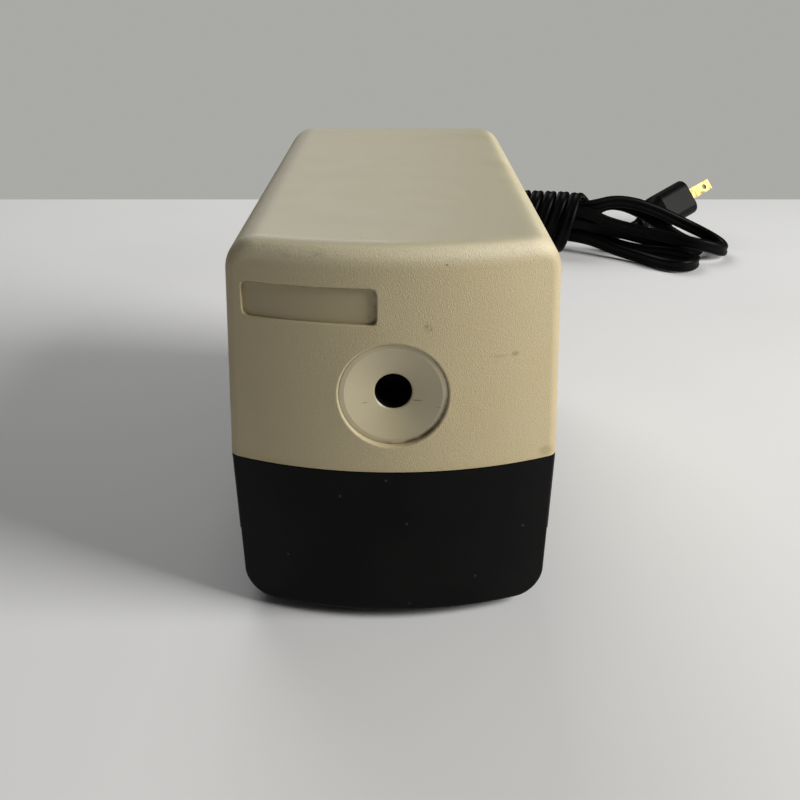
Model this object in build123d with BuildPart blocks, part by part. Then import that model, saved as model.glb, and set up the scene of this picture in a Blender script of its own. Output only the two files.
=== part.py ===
"""Electric pencil sharpener with its mains lead tied in a hank, in millimetres.

+Z is up, the front with the pencil entry faces -Y, and the origin lies on the table under the middle.
"""
import os
from math import atan, atan2, cos, degrees, hypot, pi, radians, sin, sqrt, tan

from build123d import *

os.makedirs("parts", exist_ok=True)

# Outer shell
WIDTH = 80.0
LENGTH = 164.0
HEIGHT = 98.4
PARTING_Z = 43.85
FOOT_HEIGHT = 2.6
BOW_RADIUS = 91.0
HOUSING_DRAFT = 2.1
TUB_DRAFT = 1.25
LONG_EDGE_R = 8.5
FRONT_EDGE_R = 3.9
TUB_EDGE_R = 7.2
TUB_FRONT_EDGE_R = 1.0
WALL = 2.4
TUB_INSET = 0.4
PARTING_GAP = 0.45
FRONT_Y = -LENGTH / 2
BACK_Y = LENGTH / 2

# Pencil entry
AXIS_Z = 63.0
DISH_R = 12.65
HOLE_R = 4.35
DISH_Y = -80.0
CONE_END_Y = -78.0
GUIDE_END_Y = -68.5
SEAT_EDGE_R = 0.5

# Label recess
LABEL_X = (-34.4, -3.6)
LABEL_Z = (80.05, 88.5)
LABEL_DEPTH = 1.0
LABEL_CORNER_R = 1.8
LABEL_EDGE_R = 0.3

# Drawer
DRAWER_BACK_Y = -14.0
BASE_FRONT_Y = -13.6
DRAWER_WALL = 2.2
TRAY_FLOOR_Z = 7.6
TONGUE_HALF = 28.0
TONGUE_TOP_Z = 5.4
TONGUE_FRONT_Y = -71.0
PAD_Z = (21.7, 43.2)
PAD_Y = (-71.0, -38.0)

# Cutter head: two cylinders that touch the pencil's cone, rolling inside a fixed ring gear
CONE_ANGLE = 9.5
CUTTER_R = 5.0
TIP_Y = -24.0
RING_TEETH = 36
CUTTER_TEETH = 12
APEX_Y = TIP_Y + CUTTER_R / sin(radians(CONE_ANGLE))
PIN_R = 1.5

# Gear train
OUTPUT_TEETH = 42
IDLER_PINION_TEETH = 12
OUTPUT_MODULE = 0.9
IDLER_TEETH = 40
MOTOR_TEETH = 10
MOTOR_MODULE = 0.7
MOTOR_Z = 33.0
PRESSURE_ANGLE = 25.0

# Plates
PLATE_HALF = 25.0
PLATE_TOP = 84.0
PLATE_FOOT_Z = 8.0
FRONT_PLATE_Y = (-12.0, -10.0)
REAR_PLATE_Y = (10.0, 12.0)

# Motor
STACK_Y = (24.0, 44.0)
BORE_R = 13.3
ROTOR_R = 12.9

# Screws that join the shells
SCREW_X = 32.0
SCREW_Y = (-5.0, 70.0)

# Mains lead
GLAND_X = 15.0
GLAND_Z = 14.0
GLAND_END_Y = BACK_Y + 24.0
CORD_D = 5.2

# Hank: three loops drawn in at a waist, with five wraps round it
HANK_CENTRE = (88.0, 265.0, 17.5)
HANK_TURN = -10.0
HANK_TILT = 25.0
WAIST_HALF = 19.5
WAIST_V = 3.8
LAYER = 7.2
WRAP_R = 11.7
WRAP_SIDE = 3.4
WRAP_PITCH = 7.3
WRAPS = 5
FOLD_R = 15.5

# Plug: middle of its front face, the way its blades point and its roll about that line
PLUG_FACE = (176.15, 305.0, 21.1)
PLUG_HEADING = 32.55
PLUG_PITCH = 16.7
PLUG_ROLL = 57.5
PLUG_WIDTH = 21.5
PLUG_DEPTH = 18.4
PLUG_LENGTH = 28.9
PLUG_SLEEVE = 9.0
BLADE_GAP = 12.7


def bow_depth(x, radius=BOW_RADIUS):
    """How far the bowed front lies behind its middle at a distance x from the centre line."""
    return radius - sqrt(radius * radius - x * x)


def across(x, y, z):
    """Plane across the length of the object, seen from the front, with its origin at a given point."""
    return Plane(origin=(x, y, z), x_dir=(1, 0, 0), z_dir=(0, -1, 0))


def gear_outline(teeth, module, turn, addendum=0.8, dedendum=1.05, thin=0.09, inside=False):
    """Points of an involute gear's outline, with a tooth (or a gap, inside) at the angle turn."""
    pitch_r = teeth * module / 2
    base_r = pitch_r * cos(radians(PRESSURE_ANGLE))
    top_r = pitch_r + addendum * module
    root_r = pitch_r - dedendum * module
    involute_pitch = tan(radians(PRESSURE_ANGLE)) - radians(PRESSURE_ANGLE)
    grow = thin if inside else -thin
    half_pitch = pi / (2 * teeth) + grow / pitch_r
    flank = []
    low_r = max(root_r, base_r)
    for step in range(5):
        radius = low_r + (top_r - low_r) * step / 4
        lean = sqrt(max(radius * radius / base_r / base_r - 1, 0))
        flank.append((radius, half_pitch + involute_pitch - (lean - atan(lean))))
    if root_r < base_r:
        flank.insert(0, (root_r, flank[0][1]))
    points = []
    for tooth in range(teeth):
        middle = radians(turn) + 2 * pi * tooth / teeth
        for radius, angle in flank:
            points.append((radius * cos(middle - angle), radius * sin(middle - angle)))
        for radius, angle in reversed(flank):
            points.append((radius * cos(middle + angle), radius * sin(middle + angle)))
    return points


# The upper form: a drafted section with rounded long edges, cut off by a bowed front and a flat back
with BuildPart() as upper_form:
    top_half = WIDTH / 2 - (HEIGHT - PARTING_Z) * tan(radians(HOUSING_DRAFT))
    low_half = WIDTH / 2 + 5 * tan(radians(HOUSING_DRAFT))
    with BuildSketch(Plane.XZ.offset(-BACK_Y - 10)) as upper_section:
        with BuildLine():
            Polyline(
                (-low_half, PARTING_Z - 5),
                (low_half, PARTING_Z - 5),
                (top_half, HEIGHT),
                (-top_half, HEIGHT),
                close=True,
            )
        make_face()
        fillet(upper_section.vertices().group_by(Axis.Y)[-1], LONG_EDGE_R)
    extrude(amount=LENGTH + 20)
    with BuildSketch(Plane.XY.offset(PARTING_Z)):
        with BuildLine():
            upper_bow = ThreePointArc(
                (-50, FRONT_Y + bow_depth(50)), (0, FRONT_Y), (50, FRONT_Y + bow_depth(50))
            )
            Polyline(upper_bow @ 1, (50, BACK_Y), (-50, BACK_Y), upper_bow @ 0)
        make_face()
    extrude(amount=HEIGHT - PARTING_Z + 5, taper=HOUSING_DRAFT, mode=Mode.INTERSECT)
    upper_front = upper_form.faces().sort_by(Axis.Y)[0]
    upper_back = upper_form.faces().sort_by(Axis.Y)[-1]
    rim = upper_front.edges() + upper_back.edges()
    fillet(rim.filter_by(lambda e: e.center().Z > PARTING_Z + 0.5), FRONT_EDGE_R)

# The room inside the upper form
with BuildPart() as upper_room:
    room_top = HEIGHT - WALL
    room_half = WIDTH / 2 - WALL
    room_top_half = room_half - (room_top - PARTING_Z) * tan(radians(HOUSING_DRAFT))
    with BuildSketch(Plane.XZ.offset(-BACK_Y - 10)) as room_section:
        with BuildLine():
            Polyline(
                (-room_half, PARTING_Z),
                (room_half, PARTING_Z),
                (room_top_half, room_top),
                (-room_top_half, room_top),
                close=True,
            )
        make_face()
        fillet(room_section.vertices().group_by(Axis.Y)[-1], LONG_EDGE_R - WALL)
    extrude(amount=LENGTH + 20)
    with BuildSketch(Plane.XY.offset(PARTING_Z)):
        with BuildLine():
            room_bow = ThreePointArc(
                (-50, FRONT_Y + WALL + bow_depth(50, BOW_RADIUS - WALL)),
                (0, FRONT_Y + WALL),
                (50, FRONT_Y + WALL + bow_depth(50, BOW_RADIUS - WALL)),
            )
            Polyline(room_bow @ 1, (50, BACK_Y - WALL), (-50, BACK_Y - WALL), room_bow @ 0)
        make_face()
    extrude(amount=HEIGHT - PARTING_Z + 5, taper=HOUSING_DRAFT, mode=Mode.INTERSECT)

# The floor of the label recess runs parallel to the bowed front
with BuildPart() as label_cut:
    with BuildSketch(Plane.XZ.offset(-FRONT_Y - 14)):
        with Locations(((LABEL_X[0] + LABEL_X[1]) / 2, (LABEL_Z[0] + LABEL_Z[1]) / 2)):
            RectangleRounded(LABEL_X[1] - LABEL_X[0], LABEL_Z[1] - LABEL_Z[0], LABEL_CORNER_R)
    extrude(amount=20)
    with BuildSketch(Plane.XY.offset(PARTING_Z)):
        with BuildLine():
            floor_bow = ThreePointArc(
                (-50, FRONT_Y + LABEL_DEPTH + bow_depth(50, BOW_RADIUS - LABEL_DEPTH)),
                (0, FRONT_Y + LABEL_DEPTH),
                (50, FRONT_Y + LABEL_DEPTH + bow_depth(50, BOW_RADIUS - LABEL_DEPTH)),
            )
            Polyline(floor_bow @ 1, (50, 0), (-50, 0), floor_bow @ 0)
        make_face()
    extrude(amount=HEIGHT - PARTING_Z, taper=HOUSING_DRAFT, mode=Mode.SUBTRACT)

# Upper housing: the shell, with the seat of the pencil guide and the label recess
with BuildPart() as upper_housing:
    add(upper_form.part)
    add(upper_room.part, mode=Mode.SUBTRACT)
    with BuildSketch(Plane.XZ.offset(74.0)):
        with Locations((0, AXIS_Z)):
            Circle(15.6)
    extrude(amount=5.2)
    with BuildSketch(Plane.XZ.offset(74.0)):
        with Locations((0, AXIS_Z)):
            Circle(10.7)
    extrude(amount=16, mode=Mode.SUBTRACT)
    with BuildSketch(Plane.XZ.offset(76.5)):
        with Locations((0, AXIS_Z)):
            Circle(DISH_R)
    extrude(amount=14, mode=Mode.SUBTRACT)
    add(label_cut.part, mode=Mode.SUBTRACT)
    front = upper_housing.faces().sort_by(Axis.Y)[0]
    seat_wire, label_wire = front.inner_wires().sort_by(Axis.Z)
    fillet(seat_wire.edges(), SEAT_EDGE_R)
    fillet(label_wire.edges(), LABEL_EDGE_R)
upper_housing.part.label = "upper_housing"
export_step(upper_housing.part, "parts/upper_housing.step")

# Screw posts: four posts inside the shell, each with a rib out to the side wall
with BuildPart() as screw_posts:
    for post_y in SCREW_Y:
        for side in (-1, 1):
            with BuildSketch(Plane.XY.offset(PARTING_Z)):
                with Locations((side * SCREW_X, post_y)):
                    Circle(4)
                with Locations((side * (SCREW_X + 3.9), post_y)):
                    Rectangle(4.2, 2.4)
                with Locations((side * SCREW_X, post_y)):
                    Circle(1.4, mode=Mode.SUBTRACT)
            extrude(amount=18)
    add(upper_room.part, mode=Mode.INTERSECT)
screw_posts.part.label = "screw_posts"
export_step(screw_posts.part, "parts/screw_posts.step")

# Pencil guide: a flat rim, a cone and a short tube round the pencil
with BuildPart() as pencil_guide:
    with BuildSketch(Plane.XY.offset(AXIS_Z)):
        with BuildLine():
            Polyline(
                (HOLE_R, GUIDE_END_Y),
                (7.0, GUIDE_END_Y),
                (7.0, -72.5),
                (10.4, -74.6),
                (10.4, -76.5),
                (DISH_R - 0.08, -76.5),
                (DISH_R - 0.08, DISH_Y),
                (11.4, DISH_Y),
                (HOLE_R + 0.35, CONE_END_Y),
                (HOLE_R, CONE_END_Y + 0.35),
                close=True,
            )
        make_face()
    revolve(axis=Axis((0, 0, AXIS_Z), (0, 1, 0)))
pencil_guide.part.label = "pencil_guide"
export_step(pencil_guide.part, "parts/pencil_guide.step")

# The lower form, with rounded lower long edges and the same bowed front
with BuildPart() as lower_form:
    tub_half = WIDTH / 2 - TUB_INSET
    tub_low_half = tub_half - (PARTING_Z - FOOT_HEIGHT) * tan(radians(TUB_DRAFT))
    with BuildSketch(Plane.XZ.offset(-BACK_Y - 10)) as tub_section:
        with BuildLine():
            Polyline(
                (-tub_low_half, FOOT_HEIGHT),
                (tub_low_half, FOOT_HEIGHT),
                (tub_half + 0.11, PARTING_Z + 5),
                (-tub_half - 0.11, PARTING_Z + 5),
                close=True,
            )
        make_face()
        fillet(tub_section.vertices().group_by(Axis.Y)[0], TUB_EDGE_R)
    extrude(amount=LENGTH + 20)
    tub_front = FRONT_Y + TUB_INSET
    with BuildSketch(Plane.XY.offset(PARTING_Z)):
        with BuildLine():
            tub_bow = ThreePointArc(
                (-50, tub_front + bow_depth(50)), (0, tub_front), (50, tub_front + bow_depth(50))
            )
            Polyline(tub_bow @ 1, (50, BACK_Y), (-50, BACK_Y), tub_bow @ 0)
        make_face()
    extrude(amount=-(PARTING_Z - FOOT_HEIGHT + 5), taper=TUB_DRAFT, mode=Mode.INTERSECT)
    tub_rim = lower_form.faces().sort_by(Axis.Y)[0].edges() + lower_form.faces().sort_by(Axis.Y)[-1].edges()
    fillet(tub_rim.filter_by(lambda e: e.center().Z < PARTING_Z - 0.5), TUB_FRONT_EDGE_R)

# The room inside the lower form, above the floor
with BuildPart() as lower_room:
    tub_room_half = tub_half - WALL
    tub_room_low = tub_low_half - WALL
    with BuildSketch(Plane.XZ.offset(-BACK_Y - 10)) as tub_room_section:
        with BuildLine():
            Polyline(
                (-tub_room_low, TONGUE_TOP_Z),
                (tub_room_low, TONGUE_TOP_Z),
                (tub_room_half, PARTING_Z + 5),
                (-tub_room_half, PARTING_Z + 5),
                close=True,
            )
        make_face()
        fillet(tub_room_section.vertices().group_by(Axis.Y)[0], TUB_EDGE_R - WALL)
    extrude(amount=LENGTH + 20)
    with BuildSketch(Plane.XY.offset(PARTING_Z + 6)):
        with BuildLine():
            inner_bow = ThreePointArc(
                (-50, tub_front + WALL + bow_depth(50, BOW_RADIUS - WALL)),
                (0, tub_front + WALL),
                (50, tub_front + WALL + bow_depth(50, BOW_RADIUS - WALL)),
            )
            Polyline(inner_bow @ 1, (50, BACK_Y - WALL), (-50, BACK_Y - WALL), inner_bow @ 0)
        make_face()
    extrude(amount=-(PARTING_Z + 4), taper=TUB_DRAFT, mode=Mode.INTERSECT)

# Base pan: the rear tub, the tongue that the drawer runs on, and posts for the screws and plates
with BuildPart() as base_pan:
    add(lower_form.part)
    add(lower_room.part, mode=Mode.SUBTRACT)
    with BuildSketch(Plane.XY):
        with Locations((0, BASE_FRONT_Y - 50)):
            Rectangle(100, 100)
    extrude(amount=60, mode=Mode.SUBTRACT)
    with BuildSketch(Plane.XY.offset(FOOT_HEIGHT)):
        with Locations((0, (TONGUE_FRONT_Y + BASE_FRONT_Y) / 2 + 1)):
            Rectangle(2 * TONGUE_HALF, BASE_FRONT_Y - TONGUE_FRONT_Y + 2)
    extrude(amount=TONGUE_TOP_Z - FOOT_HEIGHT)
    for post_y in SCREW_Y:
        for side in (-1, 1):
            with BuildSketch(Plane.XY.offset(FOOT_HEIGHT + 1)):
                with Locations((side * SCREW_X, post_y)):
                    Circle(4.4)
            extrude(amount=PARTING_Z - FOOT_HEIGHT - 1)
    with BuildSketch(Plane.XY.offset(FOOT_HEIGHT + 1)):
        with Locations((-18, -4), (18, -4), (-18, 17), (18, 17)):
            Circle(4)
    extrude(amount=PLATE_FOOT_Z - FOOT_HEIGHT - 1)
    add(lower_form.part, mode=Mode.INTERSECT)
    with BuildSketch(Plane.XY.offset(-1)):
        for post_y in SCREW_Y:
            with Locations((-SCREW_X, post_y), (SCREW_X, post_y)):
                Circle(3.3)
    extrude(amount=27, mode=Mode.SUBTRACT)
    with BuildSketch(Plane.XY.offset(20)):
        for post_y in SCREW_Y:
            with Locations((-SCREW_X, post_y), (SCREW_X, post_y)):
                Circle(1.8)
    extrude(amount=30, mode=Mode.SUBTRACT)
    with BuildSketch(Plane.XY.offset(FOOT_HEIGHT + 1.2)):
        with Locations((-18, -4), (18, -4), (-18, 17), (18, 17)):
            Circle(1.4)
    extrude(amount=10, mode=Mode.SUBTRACT)
    with BuildSketch(Plane.XZ.offset(-BACK_Y - 5)):
        with Locations((GLAND_X, GLAND_Z)):
            Circle(5.1)
    extrude(amount=10, mode=Mode.SUBTRACT)
base_pan.part.label = "base_pan"
export_step(base_pan.part, "parts/base_pan.step")

# Shavings drawer: a deep tray with a bowed front, runners beside the tongue, and side grip pads
with BuildPart() as shavings_drawer:
    add(lower_form.part)
    for side in (-1, 1):
        with BuildSketch(Plane.XZ.offset(-PAD_Y[1])):
            with BuildLine():
                Polyline(
                    (side * 37.5, PAD_Z[0]),
                    (side * 39.4, PAD_Z[0]),
                    (side * 39.97, PAD_Z[1] + 3),
                    (side * 37.5, PAD_Z[1] + 3),
                    close=True,
                )
            make_face()
        extrude(amount=PAD_Y[1] - PAD_Y[0])
    with BuildSketch(Plane.XY):
        with Locations((0, DRAWER_BACK_Y + 60)):
            Rectangle(120, 120)
    extrude(amount=60, mode=Mode.SUBTRACT)
    with BuildSketch(Plane.XY.offset(PARTING_Z - PARTING_GAP)):
        Rectangle(120, 200)
    extrude(amount=20, mode=Mode.SUBTRACT)
    with BuildSketch(Plane.XZ.offset(-DRAWER_BACK_Y + DRAWER_WALL)) as tray_section:
        with BuildLine():
            Polyline(
                (-tub_low_half + DRAWER_WALL + 0.2, TRAY_FLOOR_Z),
                (tub_low_half - DRAWER_WALL - 0.2, TRAY_FLOOR_Z),
                (tub_half - DRAWER_WALL, PARTING_Z + 5),
                (-tub_half + DRAWER_WALL, PARTING_Z + 5),
                close=True,
            )
        make_face()
        fillet(tray_section.vertices().group_by(Axis.Y)[0], 5.5)
    extrude(amount=BASE_FRONT_Y - FRONT_Y - 15.5, mode=Mode.SUBTRACT)
    with BuildSketch(Plane.XY.offset(TRAY_FLOOR_Z)):
        with BuildLine():
            tray_bow = ThreePointArc(
                (-34, tub_front + DRAWER_WALL + 0.9 + bow_depth(34)),
                (0, tub_front + DRAWER_WALL + 0.9),
                (34, tub_front + DRAWER_WALL + 0.9 + bow_depth(34)),
            )
            Polyline(tray_bow @ 1, (34, -60), (-34, -60), tray_bow @ 0)
        make_face()
    extrude(amount=60, mode=Mode.SUBTRACT)
    with BuildSketch(Plane.XZ.offset(-DRAWER_BACK_Y - 1)):
        with Locations((0, TONGUE_TOP_Z + 0.4 - 5)):
            Rectangle(2 * TONGUE_HALF + 0.8, 10)
    extrude(amount=DRAWER_BACK_Y + 1 - TONGUE_FRONT_Y + 0.6, mode=Mode.SUBTRACT)
    with BuildSketch(Plane.XZ.offset(-DRAWER_BACK_Y - 1)):
        with Locations((0, PARTING_Z)):
            Rectangle(2 * TONGUE_HALF, 5.6)
    extrude(amount=4, mode=Mode.SUBTRACT)
shavings_drawer.part.label = "shavings_drawer"
export_step(shavings_drawer.part, "parts/shavings_drawer.step")

# Four round rubber feet
with BuildPart() as rubber_feet:
    with BuildSketch(Plane.XY):
        with Locations((-20, -60), (20, -60), (-22, 64), (22, 64)):
            Circle(6)
    extrude(amount=FOOT_HEIGHT)
    chamfer(rubber_feet.edges().group_by(Axis.Z)[0], 0.6)
rubber_feet.part.label = "rubber_feet"
export_step(rubber_feet.part, "parts/rubber_feet.step")

# Four long screws that draw the two shells together
with BuildPart() as housing_screws:
    for screw_y in SCREW_Y:
        with BuildSketch(Plane.XY.offset(23.5)):
            with Locations((-SCREW_X, screw_y), (SCREW_X, screw_y)):
                Circle(2.9)
        extrude(amount=2.5)
        with BuildSketch(Plane.XY.offset(26)):
            with Locations((-SCREW_X, screw_y), (SCREW_X, screw_y)):
                Circle(1.3)
        extrude(amount=30)
housing_screws.part.label = "housing_screws"
export_step(housing_screws.part, "parts/housing_screws.step")

# Places and phases of the gears: the idler sits beside the line from the motor to the output shaft
MOTOR_TO_IDLER = (MOTOR_TEETH + IDLER_TEETH) * MOTOR_MODULE / 2
IDLER_TO_OUTPUT = (OUTPUT_TEETH + IDLER_PINION_TEETH) * OUTPUT_MODULE / 2
AXIS_STEP = AXIS_Z - MOTOR_Z
IDLER_UP = (MOTOR_TO_IDLER**2 - IDLER_TO_OUTPUT**2 + AXIS_STEP**2) / (2 * AXIS_STEP)
IDLER_X = sqrt(MOTOR_TO_IDLER**2 - IDLER_UP**2)
IDLER_Z = MOTOR_Z + IDLER_UP
OUTPUT_PHASE = degrees(atan2(IDLER_Z - AXIS_Z, IDLER_X))
MOTOR_PHASE = degrees(atan2(MOTOR_Z - IDLER_Z, -IDLER_X))

# Cutter geometry: everything on a cutter's axis is measured from the point where it meets the pencil's axis
CONE = radians(CONE_ANGLE)
RATIO = RING_TEETH / CUTTER_TEETH
PINION_CONE = atan2(sin(CONE), RATIO - cos(CONE))
RING_CONE = PINION_CONE + CONE
BODY_START = (APEX_Y - TIP_Y + 1.5) / cos(CONE)
BODY_END = (APEX_Y - TIP_Y + 25.0) / cos(CONE)
PINION_START = BODY_END - 0.06
PINION_END = 61.2
PINION_MID = 58.8
HEAD_MODULE = 2 * PINION_MID * tan(PINION_CONE) / CUTTER_TEETH
RING_MID = PINION_MID / cos(PINION_CONE) * cos(RING_CONE)
RING_Y = (-53.6, -48.7)


def cutter_plane(side, distance):
    """Plane across one cutter's axis; side is 1 for the right cutter and -1 for the left."""
    return Plane(
        origin=(side * distance * sin(CONE), APEX_Y - distance * cos(CONE), AXIS_Z),
        x_dir=(cos(CONE), side * sin(CONE), 0),
        z_dir=(side * sin(CONE), -cos(CONE), 0),
    )


def flute_points(turn, flutes=14, depth=0.9):
    """Saw-tooth outline of a fluted cutter."""
    points = []
    for flute in range(flutes):
        start = radians(turn) + 2 * pi * flute / flutes
        land = start + 2 * pi / flutes * 0.28
        foot = start + 2 * pi / flutes * 0.42
        points.append((CUTTER_R * cos(start), CUTTER_R * sin(start)))
        points.append((CUTTER_R * cos(land), CUTTER_R * sin(land)))
        points.append(((CUTTER_R - depth) * cos(foot), (CUTTER_R - depth) * sin(foot)))
    return points


# Cast frame: a thick front plate round the ring gear, two arms back to the gearbox, and a switch shelf
with BuildPart() as cutter_frame:
    with BuildSketch(Plane.XZ.offset(-RING_Y[1])) as frame_plate:
        with Locations((0, 65.25)):
            RectangleRounded(49, 38.5, 6)
    extrude(amount=56.5 + RING_Y[1])
    for side in (-1, 1):
        with BuildSketch(Plane.XZ.offset(-FRONT_PLATE_Y[0])):
            with Locations((side * 22, AXIS_Z)):
                Rectangle(5, 13)
        extrude(amount=FRONT_PLATE_Y[0] - RING_Y[1])
    with BuildSketch(Plane.XY.offset(82)):
        with Locations((14, -61)):
            Rectangle(20, 14)
    extrude(amount=2.5)
    with BuildSketch(Plane.XZ.offset(40)):
        with Locations((0, AXIS_Z)):
            Circle(15)
    extrude(amount=20, mode=Mode.SUBTRACT)
    with BuildSketch(Plane.XZ.offset(40)):
        with Locations((0, AXIS_Z)):
            Circle(17.5)
    extrude(amount=-RING_Y[0] - 40, mode=Mode.SUBTRACT)
    with BuildSketch(Plane.XZ.offset(-FRONT_PLATE_Y[0])):
        with Locations((-22, AXIS_Z), (22, AXIS_Z)):
            Circle(1.45)
    extrude(amount=9, mode=Mode.SUBTRACT)
    with BuildSketch(Plane.XY.offset(80)):
        with Locations((9, -64.8), (19, -64.8)):
            Circle(1.3)
    extrude(amount=10, mode=Mode.SUBTRACT)
cutter_frame.part.label = "cutter_frame"
export_step(cutter_frame.part, "parts/cutter_frame.step")

# Ring gear: inner teeth that all run to the cutters' common point
with BuildPart() as ring_teeth:
    for ring_y in (RING_Y[0] - 0.5, RING_Y[1] + 0.5):
        ring_scale = (APEX_Y - ring_y) / RING_MID
        with BuildSketch(across(0, ring_y, AXIS_Z)):
            with BuildLine():
                Polyline(
                    *gear_outline(RING_TEETH, HEAD_MODULE * ring_scale, 0, 1.3, 0.62, 0.2, True),
                    close=True,
                )
            make_face()
    loft(ruled=True)

with BuildPart() as ring_gear:
    with BuildSketch(Plane.XZ.offset(-RING_Y[1])):
        with Locations((0, AXIS_Z)):
            Circle(17.4)
    extrude(amount=RING_Y[1] - RING_Y[0])
    add(ring_teeth.part, mode=Mode.SUBTRACT)
ring_gear.part.label = "ring_gear"
export_step(ring_gear.part, "parts/ring_gear.step")

# Carrier: front disc with the pencil's hole, two webs, and a rear disc with a neck on the shaft
with BuildPart() as cutter_carrier:
    with BuildSketch(Plane.XZ.offset(18.0)):
        with Locations((0, AXIS_Z)):
            Circle(12.7)
            with Locations((0, 9.6), (0, -9.6)):
                Rectangle(9, 5.4, mode=Mode.ADD)
    extrude(amount=6.2)
    for side in (-1, 1):
        with BuildSketch(Plane.XZ.offset(18.0)):
            with Locations((0, AXIS_Z + side * 9.5)):
                Rectangle(8.6, 5.0)
        extrude(amount=40.3)
    with BuildSketch(Plane.XZ.offset(55.4)):
        with Locations((0, AXIS_Z)):
            Circle(13)
    extrude(amount=2.9)
    with BuildSketch(Plane.XZ.offset(14.0)):
        with Locations((0, AXIS_Z)):
            Circle(8)
    extrude(amount=4.2)
    with BuildSketch(Plane.XZ.offset(14.0)):
        with Locations((0, AXIS_Z)):
            Circle(13)
    extrude(amount=50, mode=Mode.INTERSECT)
    with BuildSketch(Plane.XZ.offset(50.0)):
        with Locations((0, AXIS_Z)):
            Circle(4.8)
    extrude(amount=12, mode=Mode.SUBTRACT)
    with BuildSketch(Plane.XZ.offset(13.0)):
        with Locations((0, AXIS_Z)):
            Circle(4.03)
    extrude(amount=5.0, mode=Mode.SUBTRACT)
    for side in (-1, 1):
        with BuildSketch(cutter_plane(side, 25.6)):
            Circle(PIN_R + 0.03)
        extrude(amount=45, mode=Mode.SUBTRACT)
cutter_carrier.part.label = "cutter_carrier"
export_step(cutter_carrier.part, "parts/cutter_carrier.step")

# Pins that the cutters turn on
with BuildPart() as cutter_pins:
    for side in (-1, 1):
        with BuildSketch(cutter_plane(side, 25.7)):
            Circle(PIN_R)
        extrude(amount=39.2)
cutter_pins.part.label = "cutter_pins"
export_step(cutter_pins.part, "parts/cutter_pins.step")

# Cutters: helical flutes, a bore for the pin, and a pinion with teeth running to the common point
FLUTE_STEPS = 6
with BuildPart() as cutter_right:
    for step in range(FLUTE_STEPS + 1):
        with BuildSketch(cutter_plane(1, BODY_START + (BODY_END - BODY_START) * step / FLUTE_STEPS)):
            with BuildLine():
                Polyline(*flute_points(30 * step), close=True)
            make_face()
    loft(ruled=True)
    for distance in (PINION_START, PINION_END):
        with BuildSketch(cutter_plane(1, distance)):
            with BuildLine():
                Polyline(
                    *gear_outline(CUTTER_TEETH, HEAD_MODULE * distance / PINION_MID, 0, 0.55, 1.0, 0.2),
                    close=True,
                )
            make_face()
    loft(ruled=True)
    with BuildSketch(cutter_plane(1, BODY_START - 2)):
        Circle(PIN_R + 0.06)
    extrude(amount=40, mode=Mode.SUBTRACT)
cutter_right.part.label = "cutter_right"
export_step(cutter_right.part, "parts/cutter_right.step")

with BuildPart() as cutter_left:
    for step in range(FLUTE_STEPS + 1):
        with BuildSketch(cutter_plane(-1, BODY_START + (BODY_END - BODY_START) * step / FLUTE_STEPS)):
            with BuildLine():
                Polyline(*flute_points(30 * step), close=True)
            make_face()
    loft(ruled=True)
    for distance in (PINION_START, PINION_END):
        with BuildSketch(cutter_plane(-1, distance)):
            with BuildLine():
                Polyline(
                    *gear_outline(CUTTER_TEETH, HEAD_MODULE * distance / PINION_MID, 0, 0.55, 1.0, 0.2),
                    close=True,
                )
            make_face()
    loft(ruled=True)
    with BuildSketch(cutter_plane(-1, BODY_START - 2)):
        Circle(PIN_R + 0.06)
    extrude(amount=40, mode=Mode.SUBTRACT)
cutter_left.part.label = "cutter_left"
export_step(cutter_left.part, "parts/cutter_left.step")

# Output shaft and its gear
with BuildPart() as output_shaft:
    with BuildSketch(Plane.XZ.offset(-13.5)):
        with Locations((0, AXIS_Z)):
            Circle(4)
    extrude(amount=31.4)
output_shaft.part.label = "output_shaft"
export_step(output_shaft.part, "parts/output_shaft.step")

with BuildPart() as output_gear:
    with BuildSketch(across(0, -1.0, AXIS_Z)):
        with BuildLine():
            Polyline(*gear_outline(OUTPUT_TEETH, OUTPUT_MODULE, OUTPUT_PHASE), close=True)
        make_face()
        Circle(4.03, mode=Mode.SUBTRACT)
    extrude(amount=6)
    with BuildSketch(Plane.XZ.offset(1.0)):
        with Locations((0, AXIS_Z)):
            Circle(16)
            Circle(8, mode=Mode.SUBTRACT)
    extrude(amount=1.5, mode=Mode.SUBTRACT)
output_gear.part.label = "output_gear"
export_step(output_gear.part, "parts/output_gear.step")

# Idler: a large gear and a small one in one piece, on a fixed axle
with BuildPart() as idler_gear:
    with BuildSketch(across(IDLER_X, 6.0, IDLER_Z)):
        with BuildLine():
            Polyline(*gear_outline(IDLER_TEETH, MOTOR_MODULE, MOTOR_PHASE), close=True)
        make_face()
    extrude(amount=5)
    with BuildSketch(across(IDLER_X, 2.0, IDLER_Z)):
        with BuildLine():
            Polyline(
                *gear_outline(
                    IDLER_PINION_TEETH,
                    OUTPUT_MODULE,
                    OUTPUT_PHASE + 180 + 180 / IDLER_PINION_TEETH,
                ),
                close=True,
            )
        make_face()
    extrude(amount=10)
    with BuildSketch(Plane.XZ.offset(-8.0)):
        with Locations((IDLER_X, IDLER_Z)):
            Circle(2.06)
    extrude(amount=20, mode=Mode.SUBTRACT)
idler_gear.part.label = "idler_gear"
export_step(idler_gear.part, "parts/idler_gear.step")

with BuildPart() as idler_axle:
    with BuildSketch(Plane.XZ.offset(-12.0)):
        with Locations((IDLER_X, IDLER_Z)):
            Circle(2)
    extrude(amount=24)
idler_axle.part.label = "idler_axle"
export_step(idler_axle.part, "parts/idler_axle.step")

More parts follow.
